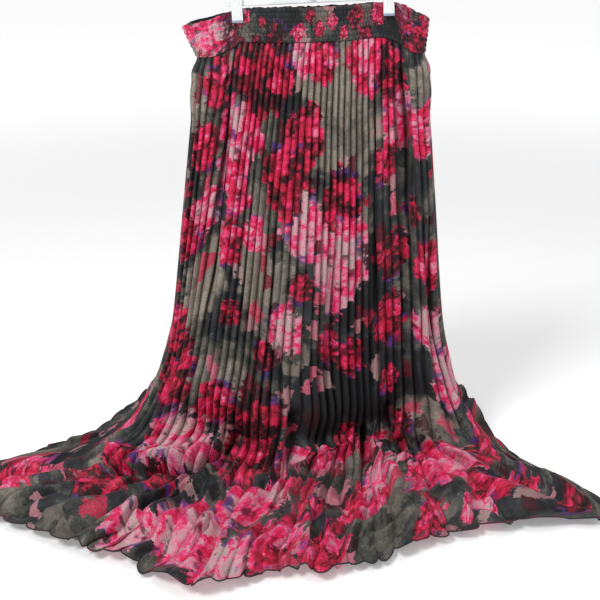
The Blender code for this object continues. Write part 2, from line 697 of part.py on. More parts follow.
clear_scene()
make_garment()
make_hanger()
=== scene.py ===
"""Looks of a pleated maxi skirt with a shirred waistband, hanging from a clip hanger.

Metres, +Z up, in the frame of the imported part: the hook bears at the origin, the front of the
skirt faces -Y, and the floor is at -HOOK_HEIGHT. Heights are measured from the floor, and up()
turns a height into a Z coordinate. The cloth follows the same tables as its solids.
"""

import math

import bpy
import numpy as np
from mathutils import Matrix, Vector


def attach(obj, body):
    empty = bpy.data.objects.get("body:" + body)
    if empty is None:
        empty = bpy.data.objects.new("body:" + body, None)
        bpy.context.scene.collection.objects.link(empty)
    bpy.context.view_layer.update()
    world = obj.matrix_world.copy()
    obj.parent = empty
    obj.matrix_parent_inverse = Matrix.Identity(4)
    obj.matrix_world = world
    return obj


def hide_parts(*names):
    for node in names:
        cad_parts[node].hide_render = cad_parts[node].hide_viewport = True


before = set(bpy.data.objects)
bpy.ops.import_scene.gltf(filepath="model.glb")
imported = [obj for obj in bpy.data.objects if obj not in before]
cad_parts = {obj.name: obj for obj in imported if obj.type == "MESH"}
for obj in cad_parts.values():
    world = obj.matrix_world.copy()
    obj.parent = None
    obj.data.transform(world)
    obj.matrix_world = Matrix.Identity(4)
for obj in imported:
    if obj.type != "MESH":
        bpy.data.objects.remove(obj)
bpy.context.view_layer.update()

# Overall heights above the floor, the pleats and the walls, as in the part
HOOK_HEIGHT = 0.760
BAR_HEIGHT = 0.659
PLEATS = 80
PANEL_PLEATS = PLEATS // 2
SKIRT_WALL = 0.0012
BAND_WALL = 0.0016
SEAM_GAP = 0.0003
SLOPE_GAP = 0.15
FLOOR_CLEAR = 0.0004
PLEAT_DEPTHS = ((0.0, 0.0016), (0.035, 0.0030), (0.5, 0.0040), (0.8, 0.0046), (1.0, 0.0046))
PLEAT_UNEVEN = 0.22
PLEAT_SHIFT = 0.10
FAN_HEIGHT = 0.45
FAN_PLEATS = 5.3

# The waistband: pleat number, then the place across, the height and the half gap at its top edge
# and at its seam, and how much higher the back is
BAND_COLUMNS = (
    "pleat", "top_x", "top_height", "top_gap", "seam_x", "seam_height", "seam_gap", "back_rise",
)
BAND_STATIONS = (
    (0.0, -0.1710, 0.6240, 0.0, -0.1520, 0.5830, 0.0, 0.0),
    (1.6, -0.1620, 0.6270, 0.0115, -0.1480, 0.5835, 0.0130, 0.001),
    (3.4, -0.1400, 0.6325, 0.0160, -0.1360, 0.5845, 0.0200, 0.001),
    (4.8, -0.1220, 0.6380, 0.0120, -0.1215, 0.5870, 0.0170, 0.001),
    (6.0, -0.1065, 0.6430, 0.0016, -0.1085, 0.5930, 0.0080, 0.0),
    (8.0, -0.0900, 0.6470, 0.0016, -0.0900, 0.6030, 0.0065, 0.0),
    (14.0, -0.0450, 0.6485, 0.0070, -0.0450, 0.6025, 0.0100, 0.0),
    (20.0, 0.0025, 0.6495, 0.0090, 0.0025, 0.6035, 0.0120, 0.0),
    (26.0, 0.0500, 0.6520, 0.0070, 0.0500, 0.6055, 0.0100, 0.0),
    (32.0, 0.0985, 0.6550, 0.0016, 0.0975, 0.6095, 0.0065, 0.0),
    (34.0, 0.1150, 0.6520, 0.0016, 0.1150, 0.6050, 0.0075, 0.003),
    (35.2, 0.1270, 0.6420, 0.0045, 0.1265, 0.5985, 0.0105, 0.010),
    (36.3, 0.1360, 0.6330, 0.0165, 0.1360, 0.5925, 0.0200, 0.014),
    (38.2, 0.1530, 0.6325, 0.0135, 0.1505, 0.5895, 0.0150, 0.006),
    (40.0, 0.1610, 0.6350, 0.0, 0.1570, 0.5890, 0.0, 0.0),
)

# The skirt: where the hanging cloth would meet the floor, where its hem lies, how high it starts
# to bend, and the height of the folds where it lands
SKIRT_COLUMNS = ("pleat", "foot_x", "foot_y", "hem_x", "hem_y", "bend_height", "buckle")
SKIRT_STATIONS = (
    (0.0, -0.222, 0.000, -0.420, -0.070, 0.230, 0.003),
    (2.0, -0.221, -0.030, -0.494, -0.145, 0.230, 0.004),
    (4.0, -0.214, -0.055, -0.470, -0.203, 0.210, 0.007),
    (7.0, -0.195, -0.090, -0.402, -0.248, 0.160, 0.015),
    (10.0, -0.160, -0.110, -0.312, -0.296, 0.120, 0.018),
    (14.0, -0.115, -0.122, -0.230, -0.344, 0.095, 0.018),
    (18.0, -0.065, -0.130, -0.140, -0.398, 0.080, 0.015),
    (22.0, -0.005, -0.095, -0.064, -0.378, 0.075, 0.014),
    (26.0, 0.045, -0.052, 0.012, -0.366, 0.070, 0.014),
    (30.0, 0.095, -0.038, 0.088, -0.336, 0.080, 0.015),
    (33.0, 0.132, -0.040, 0.160, -0.286, 0.110, 0.014),
    (36.0, 0.180, -0.042, 0.290, -0.250, 0.160, 0.010),
    (37.5, 0.202, -0.036, 0.382, -0.244, 0.200, 0.006),
    (39.0, 0.214, -0.020, 0.398, -0.200, 0.220, 0.003),
    (41.0, 0.215, 0.012, 0.318, -0.092, 0.220, 0.003),
    (43.0, 0.208, 0.034, 0.276, 0.000, 0.200, 0.004),
    (46.0, 0.188, 0.050, 0.262, 0.110, 0.150, 0.009),
    (50.0, 0.150, 0.056, 0.228, 0.215, 0.110, 0.012),
    (55.0, 0.088, 0.060, 0.138, 0.312, 0.095, 0.012),
    (60.0, 0.000, 0.062, -0.012, 0.340, 0.085, 0.012),
    (65.0, -0.088, 0.060, -0.158, 0.305, 0.095, 0.012),
    (70.0, -0.152, 0.055, -0.245, 0.210, 0.110, 0.012),
    (74.0, -0.192, 0.048, -0.290, 0.095, 0.150, 0.008),
    (77.0, -0.214, 0.032, -0.344, -0.005, 0.200, 0.004),
)
BEND_REACH = 0.75
BEND_REACH_LIMIT = 0.85
PATH_STEPS = 41

# The largest folds, pressed in from the outside, and the smaller forms that the part has too
FOLD_COLUMNS = ("top_pleat", "low_pleat", "start", "end", "depth", "width")
FOLDS = (
    (6.3, 8.8, -0.10, 0.52, 0.018, 0.95),
    (31.4, 30.2, 0.05, 0.58, 0.014, 0.80),
    (35.4, 34.2, -0.10, 0.50, 0.018, 0.90),
    (37.0, 38.2, 0.28, 0.64, 0.015, 0.80),
    (16.5, 18.5, 0.26, 0.68, 0.010, 0.90),
    (12.5, 13.0, 0.10, 0.48, 0.007, 0.80),
    (25.0, 24.0, 0.30, 0.60, 0.008, 0.80),
    (48.0, 47.0, 0.02, 0.52, 0.015, 0.95),
    (57.5, 58.8, 0.12, 0.58, 0.012, 0.85),
    (70.5, 69.0, 0.02, 0.50, 0.015, 0.95),
)
SHOULDER = 0.0045
SHOULDER_SHARE = 0.12
BUCKLE_START = 0.50
BUCKLE_FOLDS = 3.0
BUCKLE_SWAY = 0.11
BUCKLE_FADE = 0.55
FAN_START = 0.66
FAN_GROWTH = 0.20
SEAM_FOLD = 0.25
FOLD_OPENING = 5.0
FOLD_ENDS = 0.7
SHIRRING_PUFFS = 7
PINCH_RELIEF = 0.15
PINCH_SHARE = 0.35
PINCH_WIDTH = 2.0
PINCH_PLEATS = (7.0, 33.0)

# How finely the cloth is meshed
PLEAT_COLUMNS = 10
UPPER_ROWS = 96
LOWER_ROWS = 132
LOWER_FROM = 0.55
GATHERS_PER_PLEAT = 2
GATHER_COLUMNS = 6
BAND_ROWS = 44

# The print, drawn from listed roses: pleat, share of the length, radius in metres, tone from
# 0, deep red, to 1, dusty pink, and turn. Roses of one layer stay clear of each other.
PRINT_LENGTH = 0.86
FRONT_ROSES = (
    (
        (12.8, 0.050, 0.062, 0.26, 0.3), (5.0, 0.050, 0.034, 0.42, 1.2), (9.0, 0.150, 0.052, 0.70, 2.0),
        (19.2, 0.020, 0.026, 0.80, 0.5), (20.0, 0.150, 0.042, 0.36, 0.9), (30.2, 0.035, 0.040, 0.60, 2.5),
        (34.4, 0.125, 0.046, 0.66, 1.7), (38.0, 0.130, 0.040, 0.62, 0.2), (25.7, 0.250, 0.045, 0.30, 1.1),
        (20.4, 0.288, 0.042, 0.80, 2.2), (33.2, 0.366, 0.036, 0.28, 0.4), (3.0, 0.298, 0.042, 0.32, 2.8),
        (10.3, 0.251, 0.028, 0.62, 1.9), (37.6, 0.385, 0.040, 0.50, 0.6), (11.5, 0.450, 0.020, 0.30, 0.1),
        (19.0, 0.460, 0.034, 0.84, 1.5), (27.5, 0.505, 0.028, 0.34, 2.6), (32.4, 0.480, 0.034, 0.36, 0.8),
        (5.5, 0.560, 0.048, 0.32, 1.3), (37.0, 0.505, 0.040, 0.86, 2.9), (17.0, 0.605, 0.046, 0.20, 0.7),
        (8.4, 0.695, 0.058, 0.84, 2.1), (27.0, 0.655, 0.026, 0.40, 1.0), (20.8, 0.690, 0.030, 0.78, 0.3),
        (39.2, 0.735, 0.038, 0.40, 2.4), (33.4, 0.690, 0.026, 0.24, 1.6), (7.2, 0.845, 0.052, 0.28, 0.2),
        (3.2, 0.905, 0.044, 0.52, 2.7), (16.3, 0.905, 0.062, 0.74, 1.2), (22.2, 0.930, 0.046, 0.56, 0.5),
        (29.2, 0.865, 0.042, 0.58, 2.0), (34.6, 0.825, 0.060, 0.62, 1.4), (24.8, 0.850, 0.028, 0.40, 2.3),
        (33.0, 0.955, 0.030, 0.44, 0.9), (12.8, 0.945, 0.040, 0.82, 2.5), (38.4, 0.940, 0.030, 0.22, 0.4),
        (1.0, 0.700, 0.040, 0.45, 0.6),
    ),
    (
        (8.3, 0.195, 0.040, 0.66, 1.1), (17.8, 0.212, 0.046, 0.34, 2.3), (22.2, 0.026, 0.030, 0.48, 0.4),
        (34.0, 0.045, 0.034, 0.24, 1.9), (25.6, 0.350, 0.058, 0.84, 0.7), (32.4, 0.205, 0.028, 0.38, 2.6),
        (10.0, 0.335, 0.030, 0.44, 1.4), (6.0, 0.265, 0.034, 0.74, 0.2), (13.6, 0.310, 0.024, 0.70, 2.9),
        (20.5, 0.388, 0.020, 0.30, 1.7), (24.4, 0.480, 0.024, 0.42, 0.8), (17.0, 0.500, 0.024, 0.22, 2.2),
        (35.5, 0.290, 0.022, 0.22, 0.5), (32.2, 0.585, 0.020, 0.36, 1.2), (39.0, 0.600, 0.042, 0.86, 2.7),
        (11.5, 0.605, 0.032, 0.42, 0.9), (17.0, 0.690, 0.050, 0.32, 1.8), (25.4, 0.705, 0.034, 0.66, 0.1),
        (5.2, 0.745, 0.034, 0.38, 2.4), (9.6, 0.800, 0.034, 0.34, 1.5), (19.6, 0.805, 0.046, 0.70, 0.6),
        (36.6, 0.880, 0.048, 0.42, 2.0), (26.4, 0.960, 0.036, 0.46, 1.3), (4.6, 0.150, 0.032, 0.36, 2.1),
        (31.0, 0.790, 0.036, 0.80, 0.3), (35.4, 0.950, 0.030, 0.70, 1.0), (19.4, 0.965, 0.034, 0.88, 2.8),
        (2.4, 0.470, 0.036, 0.40, 1.6), (30.0, 0.700, 0.030, 0.60, 0.4),
    ),
)
# Leaf and shade masses in the same columns: 0 is charcoal, 0.5 grey green and 1 taupe
FRONT_LEAVES = (
    (24.6, 0.060, 0.080, 0.86, 0.5), (26.6, 0.165, 0.070, 0.80, 1.4), (14.0, 0.260, 0.062, 0.66, 2.2),
    (16.0, 0.385, 0.062, 0.78, 0.8), (7.0, 0.395, 0.064, 0.94, 1.9), (38.6, 0.045, 0.040, 0.92, 0.1),
    (2.2, 0.070, 0.046, 0.90, 2.7), (1.8, 0.180, 0.040, 0.10, 1.1), (17.0, 0.100, 0.036, 0.12, 0.4),
    (23.6, 0.575, 0.095, 0.04, 1.7), (29.8, 0.400, 0.075, 0.08, 2.4), (29.4, 0.570, 0.085, 0.05, 0.6),
    (36.0, 0.690, 0.046, 0.82, 0.6),
    (10.4, 0.555, 0.052, 0.78, 1.3), (36.2, 0.600, 0.044, 0.20, 2.0), (11.4, 0.800, 0.066, 0.16, 0.9),
    (9.2, 0.955, 0.052, 0.60, 2.6), (22.4, 0.790, 0.050, 0.45, 0.2), (29.4, 0.965, 0.050, 0.55, 1.5),
    (31.6, 0.880, 0.050, 0.76, 2.3), (20.4, 0.500, 0.034, 0.70, 1.0), (13.4, 0.690, 0.040, 0.30, 2.9),
    (1.6, 0.830, 0.050, 0.14, 0.7), (38.4, 0.850, 0.044, 0.24, 1.8), (14.4, 0.130, 0.040, 0.60, 2.1),
    (28.6, 0.300, 0.040, 0.72, 0.3), (5.0, 0.640, 0.040, 0.35, 1.2), (27.8, 0.760, 0.046, 0.66, 0.5),
)
BAND_ROSES = (
    (
        (3.9, 0.45, 0.026, 0.74, 0.4), (8.0, 0.22, 0.012, 0.60, 1.5), (11.6, 0.42, 0.007, 0.40, 0.2),
        (14.2, 0.72, 0.019, 0.02, 2.4), (19.8, 0.25, 0.009, 0.30, 1.0), (27.4, 0.40, 0.012, 0.20, 0.8),
        (23.6, 0.45, 0.010, 0.55, 2.2), (37.8, 0.55, 0.030, 0.26, 1.2), (31.2, 0.35, 0.013, 0.46, 2.8),
    ),
    (
        (10.6, 0.95, 0.010, 0.12, 1.9), (17.8, 0.72, 0.012, 0.58, 0.6), (21.4, 0.62, 0.010, 0.40, 1.3),
        (0.8, 0.25, 0.016, 0.64, 2.5), (29.4, 0.82, 0.012, 0.22, 0.1), (35.4, 0.20, 0.014, 0.50, 1.7),
        (25.6, 0.78, 0.008, 0.50, 0.4), (12.8, 0.90, 0.010, 0.08, 1.4),
    ),
)
BAND_LEAVES = (
    (1.8, 0.85, 0.026, 0.92, 0.2), (9.8, 0.60, 0.020, 0.62, 1.6), (12.6, 0.15, 0.020, 0.25, 2.6),
    (16.4, 0.20, 0.024, 0.12, 0.9), (22.0, 0.30, 0.024, 0.66, 1.1), (28.6, 0.70, 0.026, 0.50, 2.3),
    (33.0, 0.40, 0.030, 0.06, 0.5), (38.6, 0.92, 0.024, 0.78, 1.9), (19.0, 0.75, 0.016, 0.70, 0.4),
    (25.2, 0.25, 0.014, 0.24, 1.7), (6.4, 0.55, 0.016, 0.10, 1.0),
)

# The hidden back lies smoother, and so do the ends of the hem at the side seams, in pleats
BACK_HEM = 0.10
BACK_FLAT = 0.70
SIDE_CALM = 3.0
# The finer shape of the pleats: how round a ridge is, how much it leans, sways and changes, and
# how much lower and how wavy it gets on the floor
RIDGE_ROUND = 0.70
RIDGE_FLOOR = 0.58
VALLEY_EXTRA = 0.55
RIDGE_LEAN = 0.24
RIDGE_SWAY = 0.16
RIDGE_CHANGE = 0.20
FLOOR_STARTS = 0.60
FLOOR_GROWTH = 0.12
FLAT_STARTS = 0.66
FLAT_GROWTH = 0.20
FLOOR_DEPTH = 0.66
FLOOR_CHANGE = 0.40
FLOOR_SWAY = 0.45
CRUMPLE = 0.0030
CREASING = 0.0026
SEAM_BULGE = 0.0036
SEAM_BULGE_SHARE = 0.012
HEM_STARTS = 0.93
HEM_RUFFLE = 0.0055
HEM_SCALLOP = 0.0130
HEM_REACH = 0.0070
HEM_WANDER = 0.0050
SCALLOP_ROUND = 0.55
# Lobes of the hem that reach further out: pleat, reach in metres and width in pleats
HEM_LOBES = (
    (18.9, 0.016, 1.7), (29.8, 0.008, 1.2), (32.6, 0.012, 1.4), (14.6, -0.006, 1.0), (24.6, -0.006, 1.0),
    (9.6, 0.005, 0.9), (6.0, 0.005, 0.9), (22.3, -0.005, 0.8), (27.0, 0.006, 0.9), (30.9, -0.010, 0.5),
    (34.2, 0.004, 0.9), (12.0, 0.004, 0.8), (36.4, 0.012, 1.8), (26.0, 0.006, 1.5),
)

# The main creases on the floor, placed from the photo: from one place to another, each a
# pleat and a share of the length, then height in metres, less than zero for a trough, and width
CREASE_HEIGHT = 1.35
PLEAT_ON_FLOOR = 0.019
LENGTH_ON_FLOOR = 0.80
CREASES = (
    # the heap at the left and the dark trough beneath it
    (4.6, 0.735, 8.8, 0.738, 0.010, 0.017), (8.8, 0.738, 12.2, 0.682, 0.013, 0.018),
    (5.6, 0.785, 9.2, 0.780, -0.012, 0.010), (9.2, 0.780, 12.6, 0.722, -0.016, 0.010),
    (12.6, 0.722, 14.6, 0.655, -0.014, 0.009), (3.0, 0.715, 4.6, 0.735, 0.006, 0.014),
    # radial folds at the left
    (9.8, 0.800, 8.6, 0.985, 0.009, 0.010), (11.6, 0.790, 11.2, 0.985, 0.010, 0.011),
    (13.5, 0.740, 13.1, 0.960, 0.011, 0.012), (7.4, 0.800, 5.9, 0.960, 0.008, 0.010),
    (5.2, 0.790, 3.6, 0.930, 0.006, 0.010), (12.6, 0.800, 12.2, 0.970, -0.008, 0.006),
    (10.7, 0.820, 10.0, 0.980, -0.007, 0.006), (15.2, 0.745, 14.6, 0.980, 0.010, 0.012),
    (8.4, 0.830, 7.3, 0.970, -0.006, 0.006), (2.6, 0.800, 1.6, 0.960, 0.005, 0.010),
    # the red pleats in the middle break here
    (15.6, 0.715, 19.6, 0.722, 0.012, 0.012), (15.4, 0.752, 19.8, 0.760, -0.010, 0.009),
    (16.8, 0.770, 17.0, 0.990, 0.009, 0.013), (19.0, 0.780, 18.6, 1.000, 0.008, 0.013),
    (20.6, 0.740, 20.5, 0.960, 0.009, 0.010), (17.9, 0.800, 17.8, 0.950, -0.006, 0.007),
    # the crumpled heap in front of the feet
    (20.3, 0.600, 20.6, 0.740, -0.012, 0.008), (21.8, 0.655, 21.4, 0.745, 0.012, 0.010),
    (22.8, 0.665, 24.2, 0.690, 0.011, 0.009), (24.6, 0.650, 25.4, 0.720, 0.013, 0.010),
    (26.2, 0.655, 27.8, 0.672, 0.012, 0.009), (28.9, 0.640, 29.4, 0.735, -0.014, 0.008),
    (29.9, 0.650, 30.8, 0.700, 0.012, 0.009), (31.9, 0.640, 32.4, 0.760, -0.013, 0.008),
    (23.4, 0.700, 22.6, 0.800, -0.009, 0.007), (26.4, 0.700, 27.2, 0.790, -0.010, 0.007),
    (25.6, 0.735, 24.6, 0.830, 0.010, 0.009), (28.0, 0.700, 28.3, 0.800, 0.010, 0.010),
    (30.4, 0.735, 31.6, 0.830, 0.009, 0.010), (22.0, 0.790, 24.0, 0.870, 0.010, 0.008),
    (24.0, 0.870, 25.2, 0.990, 0.011, 0.008), (22.9, 0.850, 23.2, 0.990, -0.008, 0.007),
    (25.9, 0.830, 26.4, 0.990, 0.009, 0.009), (27.4, 0.820, 27.6, 0.990, -0.008, 0.007),
    (21.8, 0.860, 21.6, 0.980, 0.007, 0.010), (26.9, 0.760, 26.2, 0.850, -0.007, 0.007),
    # the folds stacked like a concertina, near the hem
    (27.9, 0.845, 30.2, 0.832, 0.009, 0.007), (28.0, 0.872, 30.6, 0.862, 0.009, 0.006),
    (28.1, 0.898, 30.8, 0.892, 0.010, 0.006), (28.2, 0.925, 30.9, 0.922, 0.010, 0.006),
    (28.2, 0.952, 31.0, 0.952, 0.009, 0.006), (28.0, 0.859, 30.4, 0.848, -0.008, 0.005),
    (28.1, 0.885, 30.7, 0.877, -0.008, 0.005), (28.2, 0.912, 30.8, 0.907, -0.008, 0.005),
    (28.2, 0.939, 30.9, 0.937, -0.008, 0.005),
    # the flap and the curled hem at the right, and long folds beyond them
    (31.9, 0.780, 31.6, 0.990, 0.010, 0.010), (33.0, 0.760, 32.9, 0.990, 0.009, 0.012),
    (34.2, 0.790, 34.4, 0.930, 0.009, 0.010), (34.9, 0.860, 35.1, 0.985, 0.013, 0.008),
    (35.6, 0.870, 35.7, 0.985, -0.010, 0.006), (33.6, 0.820, 33.7, 0.990, -0.008, 0.007),
    (36.2, 0.770, 36.4, 0.950, 0.008, 0.010), (37.2, 0.800, 37.3, 0.960, -0.007, 0.008),
    (32.6, 0.700, 35.0, 0.718, 0.010, 0.012), (33.0, 0.735, 35.4, 0.752, -0.009, 0.008),
    (35.2, 0.690, 36.6, 0.760, 0.008, 0.012), (38.2, 0.740, 38.4, 0.940, 0.006, 0.010),
)

# How much more cloth each hanging pleat holds than its ridge shows, and how much lies in its valley
PLEATED_WIDTH = 1.18
HIDDEN_CLOTH = 0.45
HIDDEN_SHARE = 0.85
# The roses' size against the table, how many radii away one is read, and how many pleats round the
# back's flowers are moved
ROSE_SPREAD = 1.13
FLOWER_REACH = 1.9
BACK_TURNED = 5.0
BAND_TURNED = 9.0
# How much painted shade darkens the cloth in its creases and folds, per metre of their depth
CREASE_SHADE = 75.0
FOLD_SHADE = 85.0
FOLD_SHADE_WIDER = 1.15
# How dark the painted shade is at a valley's bottom, and the valley depths between which it darkens
VALLEY_SHADE = 0.22
VALLEY_DEEP = -1.6
VALLEY_SHALLOW = -0.2
# The rolled hem: its radius and its sides
HEM_RADIUS = 0.0010
HEM_SIDES = 6

# The waistband's gathers, its painted shade and its flat size
GATHER_DEPTH = 0.0013
PUFF_DEPTH = 0.0009
MIDDLE_SHADE = 0.50
RECESS_SHADE = 1.5
BAND_RECESSES = ((5.5, 0.55), (34.8, 0.95))
HEADER = 0.10
HEADER_RUFFLE = 0.0012
BAND_FLAT_PLEAT = 0.0120
BAND_FLAT_LENGTH = 0.050

# The hanger: its tilt, and the top of the lip at the foot of each jaw, painted with grey-blue shade
HANGER_TILT = math.radians(2.6)
LIP_HEIGHT = BAR_HEIGHT - 0.0255 + 0.0028
LIP_EDGE = 0.0003

# Colours of the print, from dark to pale, as (place, hexadecimal colour)
ROSE_TONES = (
    (0.0, "1d060c"), (0.12, "570a1b"), (0.23, "9a0f2e"), (0.35, "c4163f"), (0.48, "dc205c"),
    (0.58, "dd447c"), (0.69, "d37892"), (0.84, "cb98a2"), (1.0, "b49b9a"),
)
GROUND_TONES = (
    (0.0, "111316"), (0.28, "1e2124"), (0.45, "2f3232"), (0.55, "474641"), (0.66, "5f5a53"),
    (0.84, "776f66"), (1.0, "8d8478"),
)
PETAL_TONES = (
    (0.0, "260810"), (0.18, "520b1c"), (0.36, "9a1432"), (0.54, "c22a4e"), (0.72, "c0687c"),
    (1.0, "9a8480"),
)
ROSE_SHADOW = "2e0a14"
ROSE_RIM = "45307c"

# The studio: camera, floor and lights
CAMERA_PLACE = (-0.0123, -1.53, 0.785)
CAMERA_TILT = math.radians(70)
AIM_POINT = (0.0, -0.05, 0.30)
CAMERA_LENS = 66.0
CAMERA_SENSOR = 36.0
FLOOR_HALF = 14.0
WORLD_LIGHT = 0.32
# The floor glows more beyond the reach of the lamps, so that it is as pale there
NEAR_GLOW = 0.24
FAR_GLOW = 0.64
GLOW_STARTS = 0.6
GLOW_ENDS = 3.2
LIGHTS = (
    ("key", (-1.5, -1.8, 1.9), 0.9, 66.0),
    ("fill", (1.8, -1.5, 1.3), 1.6, 12.0),
    ("top", (0.1, 0.1, 2.6), 2.0, 25.0),
)


def up(height):
    return height - HOOK_HEIGHT


def smooth_step(value):
    value = np.clip(value, 0.0, 1.0)
    return value * value * (3.0 - 2.0 * value)


def soft_noise(across, along, seed):
    """Smooth noise from -1 to 1, the same on every run."""
    lattice = np.random.default_rng(seed).uniform(-1.0, 1.0, (64, 64))
    column = np.floor(across).astype(int)
    row = np.floor(along).astype(int)
    x = smooth_step(across - column)
    y = smooth_step(along - row)
    near = lattice[column % 64, row % 64] * (1 - x) + lattice[(column + 1) % 64, row % 64] * x
    far = lattice[column % 64, (row + 1) % 64] * (1 - x) + lattice[(column + 1) % 64, (row + 1) % 64] * x
    return near * (1 - y) + far * y


def steady_slopes(knots, data):
    """Slopes for a curve that passes through the data without swinging past it."""
    step = np.diff(knots)
    rise = np.diff(data) / step
    slope = np.zeros_like(data)
    before = rise[:-1]
    after = rise[1:]
    same_way = before * after > 0
    near = 2 * step[1:] + step[:-1]
    far = step[1:] + 2 * step[:-1]
    weight = np.where(same_way, near / np.where(same_way, before, 1.0), 1.0)
    weight = weight + np.where(same_way, far / np.where(same_way, after, 1.0), 1.0)
    slope[1:-1] = np.where(same_way, (near + far) / weight, 0.0)
    return slope


def round_the_loop(rows, columns, pleats):
    """Each column of a table at the given pleats, on a smooth curve that closes on itself."""
    rows = np.array(rows, float)
    knots = rows[:, 0]
    knots = np.concatenate([knots[-3:] - PLEATS, knots, knots[:3] + PLEATS])
    place = np.mod(pleats, PLEATS)
    values = {}
    for index, name in enumerate(columns):
        if index == 0:
            continue
        data = rows[:, index]
        data = np.concatenate([data[-3:], data, data[:3]])
        slope = steady_slopes(knots, data)
        low = np.clip(np.searchsorted(knots, place, side="right") - 1, 0, len(knots) - 2)
        step = knots[low + 1] - knots[low]
        part = (place - knots[low]) / step
        values[name] = (
            (1 + 2 * part) * (1 - part) ** 2 * data[low]
            + part * (1 - part) ** 2 * step * slope[low]
            + part**2 * (3 - 2 * part) * data[low + 1]
            + part**2 * (part - 1) * step * slope[low + 1]
        )
    return values


def band_table():
    """The waistband's stations all the way round: the back mirrors the front."""
    front = list(BAND_STATIONS)
    back = []
    for row in front[-2:0:-1]:
        pleat, top_x, top_height, top_gap, seam_x, seam_height, seam_gap, rise = row
        back.append(
            (PLEATS - pleat, top_x, top_height + rise, -top_gap, seam_x, seam_height, -seam_gap, rise)
        )
    return front + back


def seam_values(pleats):
    return round_the_loop(band_table(), BAND_COLUMNS, pleats)


def pleat_depth(pleats, shares):
    """How far the ridges stand out from the smooth surface."""
    knots, depths = zip(*PLEAT_DEPTHS)
    return np.interp(np.array(shares)[None, :], knots, depths) * np.ones((len(pleats), 1))


def meridian(pleats, shares):
    """The skirt's smooth surface: a grid of points, one line down the skirt for each pleat."""
    seam = seam_values(pleats)
    skirt = round_the_loop(SKIRT_STATIONS, SKIRT_COLUMNS, pleats)
    steep = np.abs(seam_values(pleats + 0.5)["seam_height"] - seam_values(pleats - 0.5)["seam_height"])
    clear = SEAM_GAP + SLOPE_GAP * steep
    top = np.stack([seam["seam_x"], -seam["seam_gap"], seam["seam_height"] - clear], axis=1)
    ground = np.zeros_like(pleats)
    foot = np.stack([skirt["foot_x"], skirt["foot_y"], ground], axis=1)
    hem = np.stack([skirt["hem_x"], skirt["hem_y"], ground], axis=1)
    bend_share = (skirt["bend_height"] / top[:, 2])[:, None]
    start = foot + (top - foot) * bend_share
    run = np.linalg.norm(hem - foot, axis=1)
    run_share = np.minimum(skirt["bend_height"] * BEND_REACH / run, BEND_REACH_LIMIT)[:, None]
    finish = foot + (hem - foot) * run_share
    steps = np.linspace(0.0, 1.0, PATH_STEPS)[None, :, None]
    hang = top[:, None] + (start - top)[:, None] * steps
    curve = (
        start[:, None] * (1 - steps) ** 2
        + foot[:, None] * 2 * steps * (1 - steps)
        + finish[:, None] * steps**2
    )
    lie = finish[:, None] + (hem - finish)[:, None] * steps
    path = np.concatenate([hang, curve[:, 1:], lie[:, 1:]], axis=1)
    length = np.linalg.norm(np.diff(path, axis=1), axis=2).cumsum(axis=1)
    length = np.concatenate([np.zeros((len(pleats), 1)), length], axis=1)
    points = np.empty((len(pleats), len(shares), 3))
    for line in range(len(pleats)):
        wanted = np.array(shares) * length[line, -1]
        for axis in range(3):
            points[line, :, axis] = np.interp(wanted, length[line], path[line, :, axis])
    rest = pleat_depth(pleats, shares) + SKIRT_WALL + FLOOR_CLEAR
    points[:, :, 2] = np.sqrt(points[:, :, 2] ** 2 + rest**2)
    return points


def large_folds(pleats, shares, wider=1.0):
    """How far the large folds are pressed in."""
    down = np.array(shares)[None, :] * np.ones((len(pleats), 1))
    around = np.array(pleats)[:, None]
    pressed = np.zeros_like(down)
    for row in FOLDS:
        fold = dict(zip(FOLD_COLUMNS, row))
        along = np.clip((down - fold["start"]) / (fold["end"] - fold["start"]), 0.0, 1.0)
        centre = fold["top_pleat"] + (fold["low_pleat"] - fold["top_pleat"]) * along
        fade = np.sin(np.pi * along) ** FOLD_ENDS
        opening = smooth_step(SEAM_FOLD + down * FOLD_OPENING)
        apart = np.mod(around - centre + PLEATS / 2, PLEATS) - PLEATS / 2
        pressed += fold["depth"] * fade * opening * np.exp(-((apart / fold["width"] / wider) ** 2))
    return pressed


def relief(pleats, shares):
    """How far the large folds, the shoulder and the landing folds move the smooth surface."""
    down = np.array(shares)[None, :] * np.ones((len(pleats), 1))
    around = np.array(pleats)[:, None]
    out = -large_folds(pleats, shares)
    shoulder = np.clip(down / SHOULDER_SHARE, 0.0, 1.0)
    out += SHOULDER * np.sin(np.pi * shoulder) ** 2
    buckle = round_the_loop(SKIRT_STATIONS, SKIRT_COLUMNS, pleats)["buckle"][:, None]
    landing = np.clip((down - BUCKLE_START) / (1.0 - BUCKLE_START), 0.0, 1.0)
    sway = BUCKLE_SWAY * (np.sin(around * 0.55) + 0.7 * np.sin(around * 0.21 + 1.3))
    wave = 0.5 - 0.5 * np.cos(2 * np.pi * landing * (BUCKLE_FOLDS + sway))
    out += buckle * wave * smooth_step(landing * 4.0) * (1.0 - BUCKLE_FADE * landing)
    fan = 0.5 + 0.5 * np.sin(2 * np.pi * around / FAN_PLEATS + 2.0 * np.sin(around * 0.23))
    out += FAN_HEIGHT * buckle * fan * smooth_step((down - FAN_START) / FAN_GROWTH)
    return out


